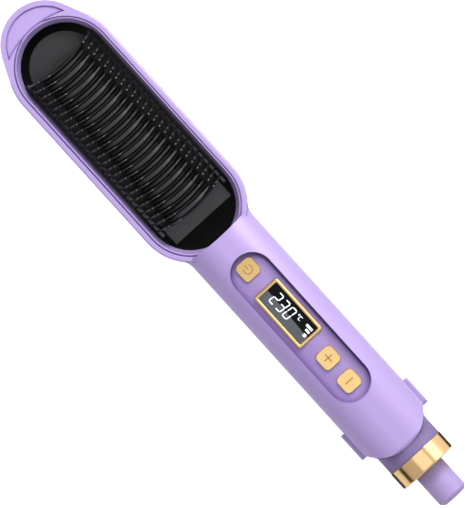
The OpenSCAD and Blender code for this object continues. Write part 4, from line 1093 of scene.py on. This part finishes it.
def make_floor():
    """A white floor for the camera that still shows the shadow."""
    bm = bmesh.new()
    bmesh.ops.create_grid(bm, x_segments=1, y_segments=1, size=3)
    mesh = mesh_from("floor", bm)
    floor = bpy.data.objects.new("floor", mesh)
    bpy.context.scene.collection.objects.link(floor)
    floor.location = (0, 0, -FLOOR_DROP)
    material = bpy.data.materials.new("floor_white")
    material.use_nodes = True
    nodes, links = material.node_tree.nodes, material.node_tree.links
    shader = nodes["Principled BSDF"]
    shader.inputs["Base Color"].default_value = (FLOOR_WHITE, FLOOR_WHITE, FLOOR_WHITE, 1)
    shader.inputs["Roughness"].default_value = 0.9
    shader.inputs["Specular IOR Level"].default_value = 0
    rays = nodes.new("ShaderNodeLightPath")
    mirrored = add_math(nodes, links, "MULTIPLY", rays.outputs["Is Glossy Ray"], MIRRORED_GLOW)
    seen = add_math(nodes, links, "MAXIMUM", rays.outputs["Is Camera Ray"], mirrored)
    shader.inputs["Emission Color"].default_value = (1, 1, 1, 1)
    links.new(add_math(nodes, links, "MULTIPLY", seen, FLOOR_GLOW), shader.inputs["Emission Strength"])
    mesh.materials.append(material)
    return floor


def stage_card(name, middle, width, height, facing, glow):
    """A flat card that only reflections see, dark or bright."""
    bm = bmesh.new()
    bmesh.ops.create_grid(bm, x_segments=1, y_segments=1, size=0.5)
    bmesh.ops.scale(bm, vec=(width, height, 1), verts=bm.verts)
    mesh = mesh_from(name, bm)
    card = bpy.data.objects.new(name, mesh)
    bpy.context.scene.collection.objects.link(card)
    card.location = middle
    card.rotation_euler = facing
    material = bpy.data.materials.new(name)
    material.use_nodes = True
    shader = material.node_tree.nodes["Principled BSDF"]
    shader.inputs["Base Color"].default_value = (0, 0, 0, 1)
    shader.inputs["Specular IOR Level"].default_value = 0
    shader.inputs["Emission Color"].default_value = (1, 1, 1, 1)
    shader.inputs["Emission Strength"].default_value = glow
    mesh.materials.append(material)
    card.visible_camera = False
    card.visible_diffuse = False
    card.visible_shadow = False
    card.visible_transmission = False
    card.visible_volume_scatter = False
    return card


UPRIGHT = (math.radians(90), 0, 0)
FLAT = (0, 0, 0)
CARDS = [
    ("strip_bright", (0, 0.4, 0.32), 0.8, 0.4, UPRIGHT, 2.4),
    ("strip_low", (0, 0.39, 0.07), 0.8, 0.1, UPRIGHT, 1.2),
    ("strip_dark", (0, -0.4, 0.075), 0.8, 0.13, UPRIGHT, 0.0),
    ("comb_strip", (-0.09, 0.25, 0.19), 0.2, 0.24, UPRIGHT, 10.0),
    ("tip_ceiling", (-0.18, 0.0, CEILING_Z), 0.1, 0.3, FLAT, 0.0),
    ("comb_ceiling", (-0.085, 0.0, CEILING_Z), 0.09, 0.3, FLAT, 0.35),
    ("root_ceiling", (-0.018, 0.0, CEILING_Z), 0.044, 0.3, FLAT, 0.0),
    ("handle_ceiling", (0.112, 0.04, CEILING_Z), 0.216, 0.5, FLAT, 1.35),
    ("ring_floor_left", (0.124, 0.028, 0.0004), 0.02, 0.02, FLAT, 0.05),
    ("ring_floor_right", (0.124, -0.028, 0.0004), 0.02, 0.02, FLAT, 0.05),
]
for card in CARDS:
    stage_card(*card)
make_world()
KEY = area_lamp("key", (-0.4, 0.45, 0.56), LOOK_AT, (0.34, 0.2), 3.7)
KEY.visible_glossy = False
FILL = area_lamp("fill", (0.1, 0.15, 0.85), LOOK_AT, (0.6, 0.4), 1.4)
FILL.visible_glossy = False
make_floor()
bpy.context.scene.view_settings.view_transform = "Standard"
